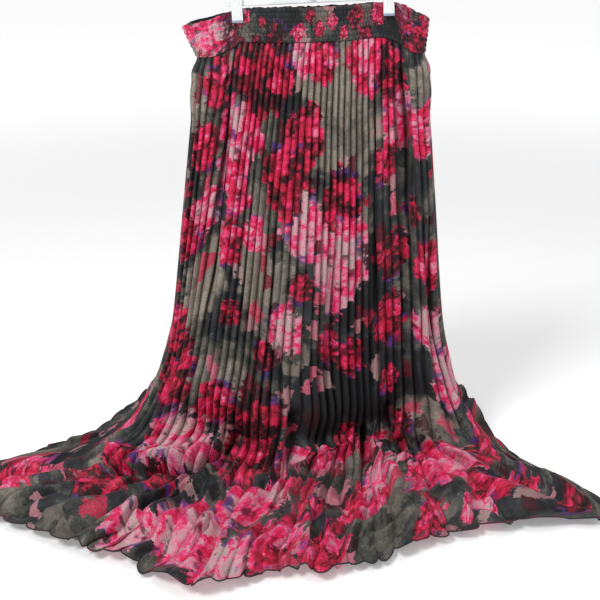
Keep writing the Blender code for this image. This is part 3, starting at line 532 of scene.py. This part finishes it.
def directions(surface, pleats, shares, level_at):
    """A surface's outward unit normals, and how it runs from one pleat to the next and down."""
    around = (surface(pleats + 0.25, shares) - surface(pleats - 0.25, shares)) * 2.0
    above = np.clip(np.array(shares) - 0.004, 0.0, 1.0)
    below = np.clip(np.array(shares) + 0.004, 0.0, 1.0)
    down = surface(pleats, below) - surface(pleats, above)
    normal = np.cross(down, around)
    normal /= np.linalg.norm(normal, axis=2, keepdims=True)
    normal[:, :, 2] *= smooth_step(np.abs(np.array(shares) - level_at) * 12.0)[None, :]
    normal /= np.linalg.norm(normal, axis=2, keepdims=True)
    down /= np.linalg.norm(down, axis=2, keepdims=True)
    return normal, around, down


def folded(pleats, shares):
    """The skirt's surface with its large folds, without pleats."""
    normal = directions(meridian, pleats, shares, 0.0)[0]
    return meridian(pleats, shares) + normal * relief(pleats, shares)[:, :, None]


def unevenness(number):
    """A number from -1 to 1 for each pleat, the same as in the part."""
    number = np.mod(number, PLEATS)
    return np.sin(number * 12.9898 + 4.1) * np.cos(number * 4.1414 + 0.7)


def panel_rows():
    upper = np.linspace(0.0, LOWER_FROM, UPPER_ROWS, endpoint=False)
    return np.concatenate([upper, np.linspace(LOWER_FROM, 1.0, LOWER_ROWS + 1)])


def pleat_profile(pleats, on_floor):
    """The height of the pleats, from about -1 in a valley to about 1 on a ridge.

    Hanging pleats have round ridges and sharp, deeper valleys. On the floor they are flatter.
    """
    number = np.floor(pleats + 1e-6)[:, None]
    part = np.clip(pleats[:, None] - number, 0.0, 1.0)
    ridge = 1.0 + PLEAT_UNEVEN * unevenness(number)
    valley = -1.0 - PLEAT_UNEVEN * unevenness(np.where(part < 0.5, number, number + 1))
    valley = valley - VALLEY_EXTRA * (1.0 - on_floor)
    power = RIDGE_ROUND + (RIDGE_FLOOR - RIDGE_ROUND) * on_floor
    return valley + (ridge - valley) * np.sin(np.pi * part) ** power


def hand_placed_creases(across, along):
    """Soft ridges and troughs along the lines of CREASES."""
    x = across * PLEAT_ON_FLOOR
    y = along * LENGTH_ON_FLOOR
    out = np.zeros_like(along)
    for pleat_a, share_a, pleat_b, share_b, height, width in CREASES:
        start = np.array((pleat_a * PLEAT_ON_FLOOR, share_a * LENGTH_ON_FLOOR))
        line = np.array((pleat_b * PLEAT_ON_FLOOR, share_b * LENGTH_ON_FLOOR)) - start
        place = ((x - start[0]) * line[0] + (y - start[1]) * line[1]) / (line @ line)
        place = np.clip(place, 0.0, 1.0)
        bend = 0.4 * width * np.sin(2 * np.pi * place + pleat_a)
        apart = np.hypot(x - start[0] - place * line[0] + bend, y - start[1] - place * line[1])
        out += CREASE_HEIGHT * height * np.exp(-((apart / width) ** 2))
    return out


def cloth_panel(first_pleat):
    """One panel's points, its flat coordinates, how deep each point lies and where flowers go."""
    count = PANEL_PLEATS * PLEAT_COLUMNS
    pleats = first_pleat + np.linspace(0.0, PANEL_PLEATS, count + 1)
    shares = panel_rows()
    halves = first_pleat + np.arange(0, PANEL_PLEATS + 0.25, 0.5)
    shift = PLEAT_SHIFT * np.sin(halves * 7.7 + 0.4)
    shift[0] = 0.0
    shift[-1] = 0.0
    moved = pleats + np.interp(pleats, halves, shift)
    points = folded(moved, shares)
    normal, around, down = directions(folded, moved, shares, 0.0)
    across = pleats[:, None] * np.ones((1, len(shares)))
    along = shares[None, :] * np.ones((len(pleats), 1))
    on_floor = smooth_step((along - FLOOR_STARTS) / FLOOR_GROWTH)
    flat_on_floor = smooth_step((along - FLAT_STARTS) / FLAT_GROWTH)
    profile = pleat_profile(pleats, flat_on_floor)
    change = 1.0 + RIDGE_CHANGE * soft_noise(across * 0.8, along * 7.0, 11)
    change += FLOOR_CHANGE * on_floor * soft_noise(across * 0.55 + 9.0, along * 12.0, 12)
    change *= 1.0 + (FLOOR_DEPTH - 1.0) * flat_on_floor
    if first_pleat >= PANEL_PLEATS:
        change *= 1.0 - BACK_FLAT * flat_on_floor
    side = smooth_step((PANEL_PLEATS / 2 - np.abs(across - first_pleat - PANEL_PLEATS / 2)) / 0.5)
    lift = pleat_depth(moved, shares) * profile * change
    lean = RIDGE_LEAN * (profile + 1.0) / 2 * soft_noise(across * 0.37, along * 4.0, 13)
    sway = RIDGE_SWAY * soft_noise(across * 0.23 + 5.0, along * 11.0, 14) * (0.4 + 0.6 * along)
    sway += FLOOR_SWAY * on_floor * soft_noise(across * 0.31, along * 20.0, 15)
    crumple = CRUMPLE * soft_noise(across * 0.9, along * 34.0, 16)
    crumple += 0.5 * CRUMPLE * soft_noise(across * 1.9 + 3.0, along * 66.0, 17)
    slanted = soft_noise(across * 0.5 + along * 9.0, along * 22.0 - across * 0.2, 18)
    crease = 1.0 - 2.0 * np.abs(slanted)
    lift += (crumple + CREASING * crease) * on_floor
    turned = across if first_pleat < PANEL_PLEATS else 2 * PANEL_PLEATS - across
    placed = hand_placed_creases(turned, along) * side
    lift += placed
    lift += SEAM_BULGE * np.sin(np.pi * np.clip(along / SEAM_BULGE_SHARE / 4, 0.0, 1.0)) ** 2
    points = points + normal * lift[:, :, None]
    points = points + around * ((lean + sway) * side * smooth_step(along * 20.0))[:, :, None]
    hem = smooth_step((along - HEM_STARTS) / (1.0 - HEM_STARTS))
    lobe = np.abs(np.sin(np.pi * pleats))[:, None] ** SCALLOP_ROUND
    ruffled = 1.0 if first_pleat < PANEL_PLEATS else BACK_HEM
    ruffled = ruffled * smooth_step(np.minimum(turned, PANEL_PLEATS - turned) / SIDE_CALM + 0.1)
    reach = HEM_SCALLOP * (lobe - 0.5) * (1.0 + 0.6 * soft_noise(across * 0.9, 0.2, 21))
    reach = reach + HEM_REACH + HEM_WANDER * soft_noise(across * 0.45, 0.5, 19)
    reach = ruffled * reach
    for place, far, width in HEM_LOBES:
        reach = reach + far * np.exp(-(((turned - place) / width) ** 2))
    points = points + down * (reach * smooth_step((along - 0.90) / 0.10))[:, :, None]
    points[:, :, 2] += ruffled * hem * HEM_RUFFLE * (0.5 + soft_noise(across * 1.1, along * 3.0, 20))
    points[:, :, 2] = np.maximum(points[:, :, 2], FLOOR_CLEAR + SKIRT_WALL * 0.8)
    points[:, :, 2] -= HOOK_HEIGHT
    width = np.linalg.norm(np.diff(folded(moved, shares), axis=0), axis=2)
    reached = np.concatenate([np.zeros((1, len(shares))), np.cumsum(width, axis=0)])
    reached -= reached[len(pleats) // 2]
    reached *= PLEATED_WIDTH + HIDDEN_CLOTH * (1.0 - smooth_step(shares / 0.8))[None, :]
    tucked = HIDDEN_SHARE * (1.0 - 0.8 * smooth_step((along - 0.3) / 0.6)) / (2 * np.pi)
    shown = across + tucked * np.sin(2 * np.pi * across)
    flat = np.stack([shown, along * PRINT_LENGTH], axis=2)
    for row in range(len(shares)):
        flat[:, row, 0] = np.interp(shown[:, row], pleats, reached[:, row])
    # The depth values set the painted shade: pleat valleys, crease troughs and large folds darken the
    # colour
    depth = profile * (1.0 - 0.15 * flat_on_floor) + np.minimum(placed, 0.0) * CREASE_SHADE
    depth -= large_folds(moved, shares, FOLD_SHADE_WIDER) * FOLD_SHADE

    def place_of(pleat, share):
        row = int(np.argmin(np.abs(shares - share)))
        return np.interp(first_pleat + pleat, pleats, reached[:, row]), share * PRINT_LENGTH

    return points, flat, depth, place_of


def add_mesh(name, vertices, faces, material):
    mesh = bpy.data.meshes.new(name)
    mesh.from_pydata([], [], [])
    mesh.vertices.add(len(vertices))
    mesh.vertices.foreach_set("co", np.asarray(vertices, np.float32).ravel())
    sides = faces.shape[1]
    mesh.loops.add(faces.size)
    mesh.loops.foreach_set("vertex_index", faces.astype(np.int32).ravel())
    mesh.polygons.add(len(faces))
    mesh.polygons.foreach_set("loop_start", np.arange(0, faces.size, sides, dtype=np.int32))
    mesh.polygons.foreach_set("use_smooth", np.ones(len(faces), bool))
    mesh.update(calc_edges=True)
    mesh.materials.append(material)
    piece = bpy.data.objects.new(name, mesh)
    bpy.context.scene.collection.objects.link(piece)
    return piece


def grid_faces(columns, rows, start=0, flip=False):
    """Four-sided faces of a grid whose points are numbered down each column in turn."""
    column = np.arange(columns - 1)[:, None] * rows
    row = np.arange(rows - 1)[None, :]
    first = (start + column + row).ravel()
    faces = np.stack([first, first + 1, first + rows + 1, first + rows], axis=1)
    return faces[:, ::-1] if flip else faces


def write_corner_data(piece, name, values):
    """Three numbers for each corner of each face."""
    layer = piece.data.attributes.new(name, "FLOAT_VECTOR", "CORNER")
    layer.data.foreach_set("vector", np.asarray(values, np.float32).ravel())


def flower_data(flat_corners, flowers, place_of, spread):
    """For each face corner, where it lies in the nearest flower, in radii, and that flower's tone."""
    middle = flat_corners.mean(axis=1)
    best = np.full(len(middle), 9.0)
    data = np.zeros((len(middle), flat_corners.shape[1], 3))
    data[:, :, 0] = 9.0
    for pleat, share, radius, tone, turn in flowers:
        radius = radius * spread
        centre = np.array(place_of(pleat, share))
        near = np.linalg.norm(middle - centre, axis=1) / radius
        mine = near < np.minimum(best, FLOWER_REACH)
        best[mine] = near[mine]
        offset = (flat_corners[mine] - centre) / radius
        data[mine, :, 0] = offset[:, :, 0] * math.cos(turn) - offset[:, :, 1] * math.sin(turn)
        data[mine, :, 1] = offset[:, :, 0] * math.sin(turn) + offset[:, :, 1] * math.cos(turn)
        data[mine, :, 2] = tone
    return data


def print_cloth(piece, flat, faces, roses, leaves, place_of):
    """Stores the cloth's flat coordinates and its flowers on the mesh, for the material."""
    corners = flat.reshape(-1, 2)[faces]
    cloth = np.concatenate([corners, np.zeros(corners.shape[:2] + (1,))], axis=2)
    write_corner_data(piece, "cloth", cloth)
    write_corner_data(piece, "rose_low", flower_data(corners, roses[0], place_of, ROSE_SPREAD))
    write_corner_data(piece, "rose_high", flower_data(corners, roses[1], place_of, ROSE_SPREAD))
    write_corner_data(piece, "leaf", flower_data(corners, leaves, place_of, 1.0))


def hidden_side(flowers, turned):
    """The back's flowers: the front's, turned round, since the photo does not show them."""
    moved = []
    for pleat, share, radius, tone, turn in flowers:
        place = np.mod(PANEL_PLEATS - pleat + turned, PANEL_PLEATS)
        moved.append((place, share, radius, tone, turn + 1.0))
    return tuple(moved)


def linear(code):
    """A colour from its usual hexadecimal code, as linear red, green, blue and 1."""
    values = []
    for place in (0, 2, 4):
        value = int(code[place : place + 2], 16) / 255
        values.append(value / 12.92 if value <= 0.04045 else ((value + 0.055) / 1.055) ** 2.4)
    return (*values, 1.0)


def node(tree, kind, inputs, **settings):
    """A shader node. inputs gives a value or a socket for each input by its name or number."""
    made = tree.nodes.new("ShaderNode" + kind)
    for name, value in settings.items():
        setattr(made, name, value)
    for key, value in inputs.items():
        if isinstance(value, bpy.types.NodeSocket):
            tree.links.new(value, made.inputs[key])
        else:
            made.inputs[key].default_value = value
    return made


def maths(tree, operation, *values):
    return node(tree, "Math", dict(enumerate(values)), operation=operation).outputs[0]


def between(tree, value, low, high):
    """0 below low, 1 above high and smooth from one to the other."""
    made = node(
        tree, "MapRange", {"Value": value, "From Min": low, "From Max": high},
        interpolation_type="SMOOTHSTEP",
    )
    return made.outputs["Result"]


def mixed(tree, factor, first, second, blend="MIX"):
    made = node(tree, "MixRGB", {"Fac": factor, "Color1": first, "Color2": second}, blend_type=blend)
    return made.outputs[0]


def ramp(tree, factor, stops):
    """A colour ramp from (place, hexadecimal colour) pairs."""
    made = node(tree, "ValToRGB", {"Fac": factor})
    band = made.color_ramp
    while len(band.elements) < len(stops):
        band.elements.new(0.5)
    for element, (place, code) in zip(band.elements, stops):
        element.position = place
        element.color = linear(code)
    return made.outputs["Color"]


def noise(tree, where, scale, detail=2.0, roughness=0.5):
    return node(
        tree, "TexNoise", {"Vector": where, "Scale": scale, "Detail": detail, "Roughness": roughness}
    )


def centred(tree, value, spread):
    """A value from 0 to 1, moved to lie around 0 and spread out."""
    return maths(tree, "MULTIPLY", maths(tree, "SUBTRACT", value, 0.5), spread)


def plus(tree, *values):
    total = values[0]
    for value in values[1:]:
        total = maths(tree, "ADD", total, value)
    return total


def scaled(tree, vector, across, along):
    by = (across, along, 0.0)
    return node(tree, "VectorMath", {0: vector, 1: by}, operation="MULTIPLY").outputs[0]


def shifted(tree, vector, sway, reach):
    moved = scaled(tree, sway, reach, reach)
    return node(tree, "VectorMath", {0: vector, 1: moved}, operation="ADD").outputs[0]


def cells(tree, where, scale):
    """Flat cells: how far the middle of each lies, and three tones of its own."""
    made = node(tree, "TexVoronoi", {"Vector": where, "Scale": scale}, voronoi_dimensions="2D")
    parts = node(tree, "SeparateColor", {0: made.outputs["Color"]})
    return made.outputs["Distance"], parts.outputs


def flower_place(tree, name, sway, reach):
    """The tone of the nearest flower, the place in it, in radii, and how far that is out."""
    place = node(tree, "Attribute", {}, attribute_name=name).outputs["Vector"]
    tone = node(tree, "SeparateXYZ", {0: place}).outputs["Z"]
    flat = scaled(tree, shifted(tree, place, sway, reach), 1.0, 1.0)
    return tone, flat, node(tree, "VectorMath", {0: flat}, operation="LENGTH").outputs["Value"]


def rose_layer(tree, name, cloth, sway, beneath, gathered):
    """Painted roses of one layer over what lies beneath. On the waistband they are smaller."""
    tone, flat, radius = flower_place(tree, name, sway, 1.1)
    large_far, large_tones = cells(tree, flat, 2.3)
    small_far, small_tones = cells(tree, flat, 5.2)
    strokes = noise(tree, scaled(tree, cloth, 230.0, 150.0), 1.0, 3.0, 0.65).outputs["Fac"]
    value = plus(
        tree,
        tone,
        centred(tree, large_tones[0], 0.54),
        centred(tree, small_tones[1], 0.22),
        maths(tree, "MULTIPLY", maths(tree, "SUBTRACT", 0.34, large_far), 0.46),
        maths(tree, "MULTIPLY", maths(tree, "SUBTRACT", 0.30, small_far), 0.26),
        centred(tree, strokes, 0.55),
    )
    colour = ramp(tree, value, ROSE_TONES)
    shadows = noise(tree, cloth, 44.0, 3.0, 0.6).outputs["Fac"]
    shadows = maths(tree, "MULTIPLY", between(tree, shadows, 0.56, 0.66), 0.80)
    colour = mixed(tree, shadows, colour, linear(ROSE_SHADOW))
    ragged = noise(tree, cloth, 150.0 if gathered else 58.0, 4.0, 0.7).outputs["Fac"]
    ragged = centred(tree, ragged, 2.4 if gathered else 0.9)
    edge = plus(tree, radius, ragged, centred(tree, large_tones[0], 0.36))
    cover = maths(tree, "SUBTRACT", 1.0, between(tree, edge, 0.92, 1.01))
    patches = noise(tree, cloth, 27.0, 1.0).outputs["Fac"]
    rim = maths(tree, "MULTIPLY", between(tree, edge, 0.74, 0.86), between(tree, patches, 0.55, 0.63))
    colour = mixed(tree, maths(tree, "MULTIPLY", rim, 0.80), colour, linear(ROSE_RIM))
    return mixed(tree, cover, beneath, colour)


def painted_ground(tree, cloth, sway):
    """Leaves and shadows in greys and taupe, with loose petals, behind the roses."""
    tone, _, radius = flower_place(tree, "leaf", sway, 2.4)
    cover = maths(tree, "SUBTRACT", 1.0, between(tree, radius, 0.75, 1.15))
    large = noise(tree, cloth, 13.0, 3.0, 0.6).outputs["Fac"]
    large = maths(tree, "MULTIPLY", maths(tree, "SUBTRACT", large, 0.25), 1.9)
    value = node(tree, "Mix", {0: cover, 2: large, 3: tone}, data_type="FLOAT").outputs[0]
    where = shifted(tree, cloth, sway, 0.062)
    tones = cells(tree, where, 40.0)[1]
    strokes = noise(tree, scaled(tree, where, 270.0, 150.0), 1.0, 4.0, 0.7).outputs["Fac"]
    strokes = centred(tree, strokes, 0.75)
    value = plus(tree, value, centred(tree, tones[0], 0.30), strokes)
    colour = ramp(tree, value, GROUND_TONES)
    petal = maths(tree, "GREATER_THAN", tones[1], 0.80)
    petals = ramp(tree, maths(tree, "ADD", tones[2], strokes), PETAL_TONES)
    return mixed(tree, maths(tree, "MULTIPLY", petal, 0.85), colour, petals)


def make_print(name, gathered):
    """The printed satin-faced chiffon. gathered is for the shirred waistband."""
    material = bpy.data.materials.new(name)
    material.use_nodes = True
    tree = material.node_tree
    shader = tree.nodes["Principled BSDF"]
    cloth = node(tree, "Attribute", {}, attribute_name="cloth").outputs["Vector"]
    swirl = noise(tree, cloth, 28.0, 4.0, 0.66).outputs["Color"]
    sway = node(tree, "VectorMath", {0: swirl, 1: (0.5, 0.5, 0.5)}, operation="SUBTRACT").outputs[0]
    colour = painted_ground(tree, cloth, sway)
    colour = rose_layer(tree, "rose_low", cloth, sway, colour, gathered)
    colour = rose_layer(tree, "rose_high", cloth, sway, colour, gathered)
    # Fine speckle, partly the print's own mottle and partly painted sheen of the satin face
    mottle_and_sheen = noise(tree, cloth, 620.0, 2.0, 0.7).outputs["Fac"]
    limits = {"From Min": 0.32, "From Max": 0.68, "To Min": 0.66, "To Max": 1.34}
    mottle_and_sheen = node(tree, "MapRange", {"Value": mottle_and_sheen, **limits}).outputs["Result"]
    colour = mixed(tree, 1.0, colour, mottle_and_sheen, "MULTIPLY")
    # Painted shade: the colour darkens in pleat valleys, crease troughs and folds, by the depth attribute
    valley = node(tree, "Attribute", {}, attribute_name="depth").outputs["Fac"]
    limits = {"From Min": VALLEY_DEEP, "From Max": VALLEY_SHALLOW, "To Min": VALLEY_SHADE, "To Max": 1.0}
    shade = node(tree, "MapRange", {"Value": valley, **limits}).outputs["Result"]
    colour = mixed(tree, 1.0, colour, shade, "MULTIPLY")
    tree.links.new(colour, shader.inputs["Base Color"])
    shader.inputs["Roughness"].default_value = 0.62 if gathered else 0.50
    shader.inputs["Specular IOR Level"].default_value = 0.32
    shader.inputs["Sheen Weight"].default_value = 0.12
    shader.inputs["Sheen Roughness"].default_value = 0.4
    crinkle = noise(tree, cloth, 210.0, 4.0, 0.65).outputs["Fac"]
    weave = node(tree, "TexWave", {"Vector": cloth, "Scale": 260.0, "Distortion": 2.0, "Detail": 1.0},
                 bands_direction="DIAGONAL").outputs["Fac"]
    height = maths(tree, "ADD", crinkle, maths(tree, "MULTIPLY", weave, 0.12))
    bump = node(tree, "Bump", {"Height": height, "Strength": 0.55, "Distance": 0.0011})
    tree.links.new(bump.outputs["Normal"], shader.inputs["Normal"])
    return material


def write_depth(piece, values):
    layer = piece.data.attributes.new("depth", "FLOAT", "POINT")
    layer.data.foreach_set("value", np.asarray(values, np.float32).ravel())


def tube(name, path, radius, sides, material):
    """A thin tube along a line of points, open at its ends."""
    along = np.gradient(path, axis=0)
    along /= np.linalg.norm(along, axis=1, keepdims=True)
    side = np.cross(along, np.array((0.0, 0.0, 1.0)))
    side /= np.linalg.norm(side, axis=1, keepdims=True)
    above = np.cross(side, along)
    rings = []
    for step in range(sides):
        angle = 2 * math.pi * step / sides
        rings.append(path + radius * (side * math.cos(angle) + above * math.sin(angle)))
    vertices = np.stack(rings, axis=1).reshape(-1, 3)
    count = len(path)
    place = np.arange(count - 1)[:, None] * sides
    turn = np.arange(sides)[None, :]
    after = (turn + 1) % sides
    faces = np.stack(
        [(place + turn), (place + after), (place + sides + after), (place + sides + turn)], axis=2
    ).reshape(-1, 4)
    return add_mesh(name, vertices, faces, material)


def make_skirt(side, first_pleat, roses, leaves, material, thread):
    """One pleated panel and its rolled hem."""
    points, flat, depth, place_of = cloth_panel(first_pleat)
    columns, rows = points.shape[:2]
    faces = grid_faces(columns, rows)
    piece = add_mesh(f"cloth_{side}", points.reshape(-1, 3), faces, material)
    print_cloth(piece, flat, faces, roses, leaves, place_of)
    write_depth(piece, depth)
    hem = tube(f"hem_{side}", points[:, -1], HEM_RADIUS, HEM_SIDES, thread)
    for part in (piece, hem):
        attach(part, "root")
    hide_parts(f"skirt_{side}")


def band_surface(pleats, shares):
    """The smooth waistband: shares run from its top edge to its seam."""
    values = seam_values(pleats)
    shares = np.array(shares)[None, :, None]
    top = np.stack([values["top_x"], -values["top_gap"], values["top_height"]], axis=1)
    seam = np.stack([values["seam_x"], -values["seam_gap"], values["seam_height"]], axis=1)
    blend = smooth_step((shares - PINCH_SHARE) / (1.0 - PINCH_SHARE))
    points = top[:, None] * (1 - shares) + seam[:, None] * shares
    across = top[:, None, 1] * (1 - blend[:, :, 0]) + seam[:, None, 1] * blend[:, :, 0]
    points[:, :, 1] = across
    return points


def make_band(side, first_pleat, roses, leaves, material):
    """Half of the waistband: fine gathers and shirring rows outside, a smooth inside that ruffles at its
    top edge.
    """
    count = PANEL_PLEATS * GATHERS_PER_PLEAT * GATHER_COLUMNS
    pleats = first_pleat + np.linspace(0.0, PANEL_PLEATS, count + 1)
    shares = np.linspace(0.0, 1.0, BAND_ROWS)
    across = pleats[:, None] * np.ones((1, BAND_ROWS))
    along = shares[None, :] * np.ones((len(pleats), 1))
    normal, around, _ = directions(band_surface, pleats, shares, 1.0)
    points = band_surface(pleats, shares)
    wander = 0.30 * soft_noise(across * 1.3, along * 5.0, 31)
    wander += 0.12 * soft_noise(across * 4.0, along * 9.0, 32)
    wave = np.abs(np.sin(np.pi * GATHERS_PER_PLEAT * (across + wander))) ** 0.8
    wave = wave * (1.0 + 0.35 * soft_noise(across * 2.1, along * 7.0, 33))
    puff = np.abs(np.sin(np.pi * along * SHIRRING_PUFFS)) ** 0.8
    number = PANEL_PLEATS - np.abs(np.mod(pleats, PLEATS) - PANEL_PLEATS)
    pinched = sum(np.exp(-(((number - place) / PINCH_WIDTH) ** 2)) for place in PINCH_PLEATS)
    pinched = (1.0 - (1.0 - PINCH_RELIEF) * np.clip(pinched * 1.3, 0.0, 1.0))[:, None]
    raised = (GATHER_DEPTH * wave * (0.55 + 0.45 * puff) + PUFF_DEPTH * puff) * pinched
    header = smooth_step((HEADER - along) / HEADER) * pinched
    ruffle = HEADER_RUFFLE * header * soft_noise(across * 2.6, 0.3, 34)
    outer = points + normal * (BAND_WALL / 2 + raised + ruffle)[:, :, None]
    inner = points - normal * (BAND_WALL / 2 - ruffle)[:, :, None]
    rise = 0.0012 * soft_noise(across * 2.3, 0.7, 35) * header
    for grid in (outer, inner):
        grid[:, :, 2] += rise
        grid[:, :, 2] -= HOOK_HEIGHT
    columns = len(pleats)
    size = columns * BAND_ROWS
    faces = [grid_faces(columns, BAND_ROWS), grid_faces(columns, BAND_ROWS, size, True)]
    step = np.arange(columns - 1) * BAND_ROWS
    faces.append(np.stack([step, step + BAND_ROWS, step + BAND_ROWS + size, step + size], axis=1))
    low = step + BAND_ROWS - 1
    faces.append(np.stack([low, low + size, low + BAND_ROWS + size, low + BAND_ROWS], axis=1))
    faces = np.concatenate(faces)
    vertices = np.concatenate([outer.reshape(-1, 3), inner.reshape(-1, 3)])
    piece = add_mesh(f"band_{side}", vertices, faces, material)
    flat = np.stack(
        [(across - first_pleat - PANEL_PLEATS / 2) * BAND_FLAT_PLEAT, along * BAND_FLAT_LENGTH], axis=2
    )
    flat = np.concatenate([flat.reshape(-1, 2)] * 2)

    def place_of(pleat, share):
        return (pleat - PANEL_PLEATS / 2) * BAND_FLAT_PLEAT, share * BAND_FLAT_LENGTH

    print_cloth(piece, flat, faces, roses, leaves, place_of)
    # Painted shade: darker in the gathers' and puffs' valleys, across the middle, in the recesses by the
    # clips and a little on the inside
    depth = np.minimum(wave * 1.9 - 1.1, puff * 2.0 - 0.9)
    middle = smooth_step((number - 5.2) / 1.6) * smooth_step((36.0 - number) / 1.6)
    recess = sum(np.exp(-(((number - place) / width) ** 2)) for place, width in BAND_RECESSES)
    depth = depth - (MIDDLE_SHADE * middle + RECESS_SHADE * recess)[:, None]
    write_depth(piece, np.concatenate([depth.ravel(), np.full(depth.size, -0.5)]))
    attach(piece, "root")
    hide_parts(f"waistband_{side}")


def plastic():
    """White moulded plastic, with grey-blue painted shade on the lip at the foot of each jaw."""
    material = bpy.data.materials.new("clip_plastic")
    material.use_nodes = True
    tree = material.node_tree
    shader = tree.nodes["Principled BSDF"]
    where = node(tree, "NewGeometry", {}).outputs["Position"]
    place = node(tree, "SeparateXYZ", {0: where})
    level = maths(tree, "MULTIPLY", place.outputs["X"], -math.sin(HANGER_TILT))
    height = maths(tree, "MULTIPLY_ADD", place.outputs["Z"], math.cos(HANGER_TILT), level)
    # Painted shade: the downward-facing lip at the foot of each jaw is coloured grey-blue
    lip = between(tree, height, up(LIP_HEIGHT) - LIP_EDGE, up(LIP_HEIGHT) + LIP_EDGE)
    mottle = noise(tree, where, 90.0, 3.0).outputs["Fac"]
    white = ramp(tree, mottle, ((0.3, "e4e8ea"), (0.7, "f2f4f4")))
    colour = mixed(tree, lip, linear("8e97ab"), white)
    tree.links.new(colour, shader.inputs["Base Color"])
    shader.inputs["Roughness"].default_value = 0.30
    shader.inputs["Coat Weight"].default_value = 0.15
    grain = noise(tree, where, 900.0, 2.0).outputs["Fac"]
    bump = node(tree, "Bump", {"Height": grain, "Strength": 0.12, "Distance": 0.0003})
    tree.links.new(bump.outputs["Normal"], shader.inputs["Normal"])
    return material


def chrome():
    """Bright plated wire, a little brushed."""
    material = bpy.data.materials.new("plated_steel")
    material.use_nodes = True
    tree = material.node_tree
    shader = tree.nodes["Principled BSDF"]
    shader.inputs["Metallic"].default_value = 1.0
    where = node(tree, "NewGeometry", {}).outputs["Position"]
    spots = noise(tree, where, 240.0, 3.0).outputs["Fac"]
    tree.links.new(ramp(tree, spots, ((0.3, "c3c5c9"), (0.7, "d9dbde"))), shader.inputs["Base Color"])
    rough = node(tree, "MapRange", {"Value": spots, "To Min": 0.14, "To Max": 0.30}).outputs["Result"]
    tree.links.new(rough, shader.inputs["Roughness"])
    return material


def hem_thread():
    """Close overlocking in dark thread."""
    material = bpy.data.materials.new("hem_overlock")
    material.use_nodes = True
    tree = material.node_tree
    shader = tree.nodes["Principled BSDF"]
    where = node(tree, "NewGeometry", {}).outputs["Position"]
    patches = noise(tree, where, 26.0, 2.0).outputs["Fac"]
    tones = ((0.35, "1c1d22"), (0.56, "2a2226"), (0.62, "5e1230"), (0.75, "7c1a44"))
    colour = ramp(tree, patches, tones)
    tree.links.new(colour, shader.inputs["Base Color"])
    shader.inputs["Roughness"].default_value = 0.7
    stitches = node(tree, "TexWave", {"Vector": where, "Scale": 420.0}, bands_direction="DIAGONAL")
    bump = node(tree, "Bump", {"Height": stitches.outputs["Fac"], "Strength": 0.6, "Distance": 0.0004})
    tree.links.new(bump.outputs["Normal"], shader.inputs["Normal"])
    return material


def dress_hanger():
    white = plastic()
    steel = chrome()
    for name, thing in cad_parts.items():
        if name.startswith(("skirt", "waistband")):
            continue
        metal = name.endswith(("spring", "hook"))
        thing.data.materials.clear()
        thing.data.materials.append(steel if metal else white)


def make_stage():
    material = bpy.data.materials.new("studio_paper")
    material.use_nodes = True
    tree = material.node_tree
    shader = tree.nodes["Principled BSDF"]
    where = node(tree, "NewGeometry", {}).outputs["Position"]
    grain = noise(tree, where, 60.0, 3.0).outputs["Fac"]
    tree.links.new(ramp(tree, grain, ((0.3, "f6f7f7"), (0.7, "fafafa"))), shader.inputs["Base Color"])
    shader.inputs["Roughness"].default_value = 0.9
    shader.inputs["Emission Color"].default_value = (1.0, 1.0, 1.0, 1.0)
    apart = node(tree, "VectorMath", {0: where}, operation="LENGTH").outputs["Value"]
    far = between(tree, apart, HOOK_HEIGHT + GLOW_STARTS, HOOK_HEIGHT + GLOW_ENDS)
    glow = maths(tree, "MULTIPLY_ADD", far, FAR_GLOW - NEAR_GLOW, NEAR_GLOW)
    tree.links.new(glow, shader.inputs["Emission Strength"])
    corners = [(x, y, up(0.0)) for x in (-FLOOR_HALF, FLOOR_HALF) for y in (-FLOOR_HALF, FLOOR_HALF)]
    stage = add_mesh("studio_floor", np.array(corners), grid_faces(2, 2, flip=True), material)


def make_lights():
    scene = bpy.context.scene
    world = bpy.data.worlds.new("studio")
    world.use_nodes = True
    world.node_tree.nodes["Background"].inputs["Color"].default_value = (1.0, 1.0, 1.0, 1.0)
    world.node_tree.nodes["Background"].inputs["Strength"].default_value = WORLD_LIGHT
    scene.world = world
    for name, place, size, power in LIGHTS:
        lamp = bpy.data.lights.new(name, "AREA")
        lamp.energy = power
        lamp.size = size
        light = bpy.data.objects.new(name, lamp)
        light.location = place
        aim = Vector((AIM_POINT[0], AIM_POINT[1], up(AIM_POINT[2]))) - light.location
        light.rotation_euler = aim.to_track_quat("-Z", "Y").to_euler()
        scene.collection.objects.link(light)
    scene.view_settings.view_transform = "Standard"


def make_camera():
    data = bpy.data.cameras.new("camera")
    data.sensor_width = CAMERA_SENSOR
    data.lens = CAMERA_LENS
    camera = bpy.data.objects.new("camera", data)
    camera.location = (CAMERA_PLACE[0], CAMERA_PLACE[1], up(CAMERA_PLACE[2]))
    camera.rotation_euler = (CAMERA_TILT, 0.0, 0.0)
    bpy.context.scene.collection.objects.link(camera)
    bpy.context.scene.camera = camera


make_camera()
make_stage()
make_lights()
skirt_print = make_print("printed_chiffon", False)
band_print = make_print("shirred_chiffon", True)
overlock = hem_thread()
make_skirt("front", 0.0, FRONT_ROSES, FRONT_LEAVES, skirt_print, overlock)
back_roses = tuple(hidden_side(layer, BACK_TURNED) for layer in FRONT_ROSES)
back_leaves = hidden_side(FRONT_LEAVES, BACK_TURNED)
make_skirt("back", float(PANEL_PLEATS), back_roses, back_leaves, skirt_print, overlock)
make_band("front", 0.0, BAND_ROSES, BAND_LEAVES, band_print)
back_roses = tuple(hidden_side(layer, BAND_TURNED) for layer in BAND_ROSES)
back_leaves = hidden_side(BAND_LEAVES, BAND_TURNED)
make_band("back", float(PANEL_PLEATS), back_roses, back_leaves, band_print)
dress_hanger()
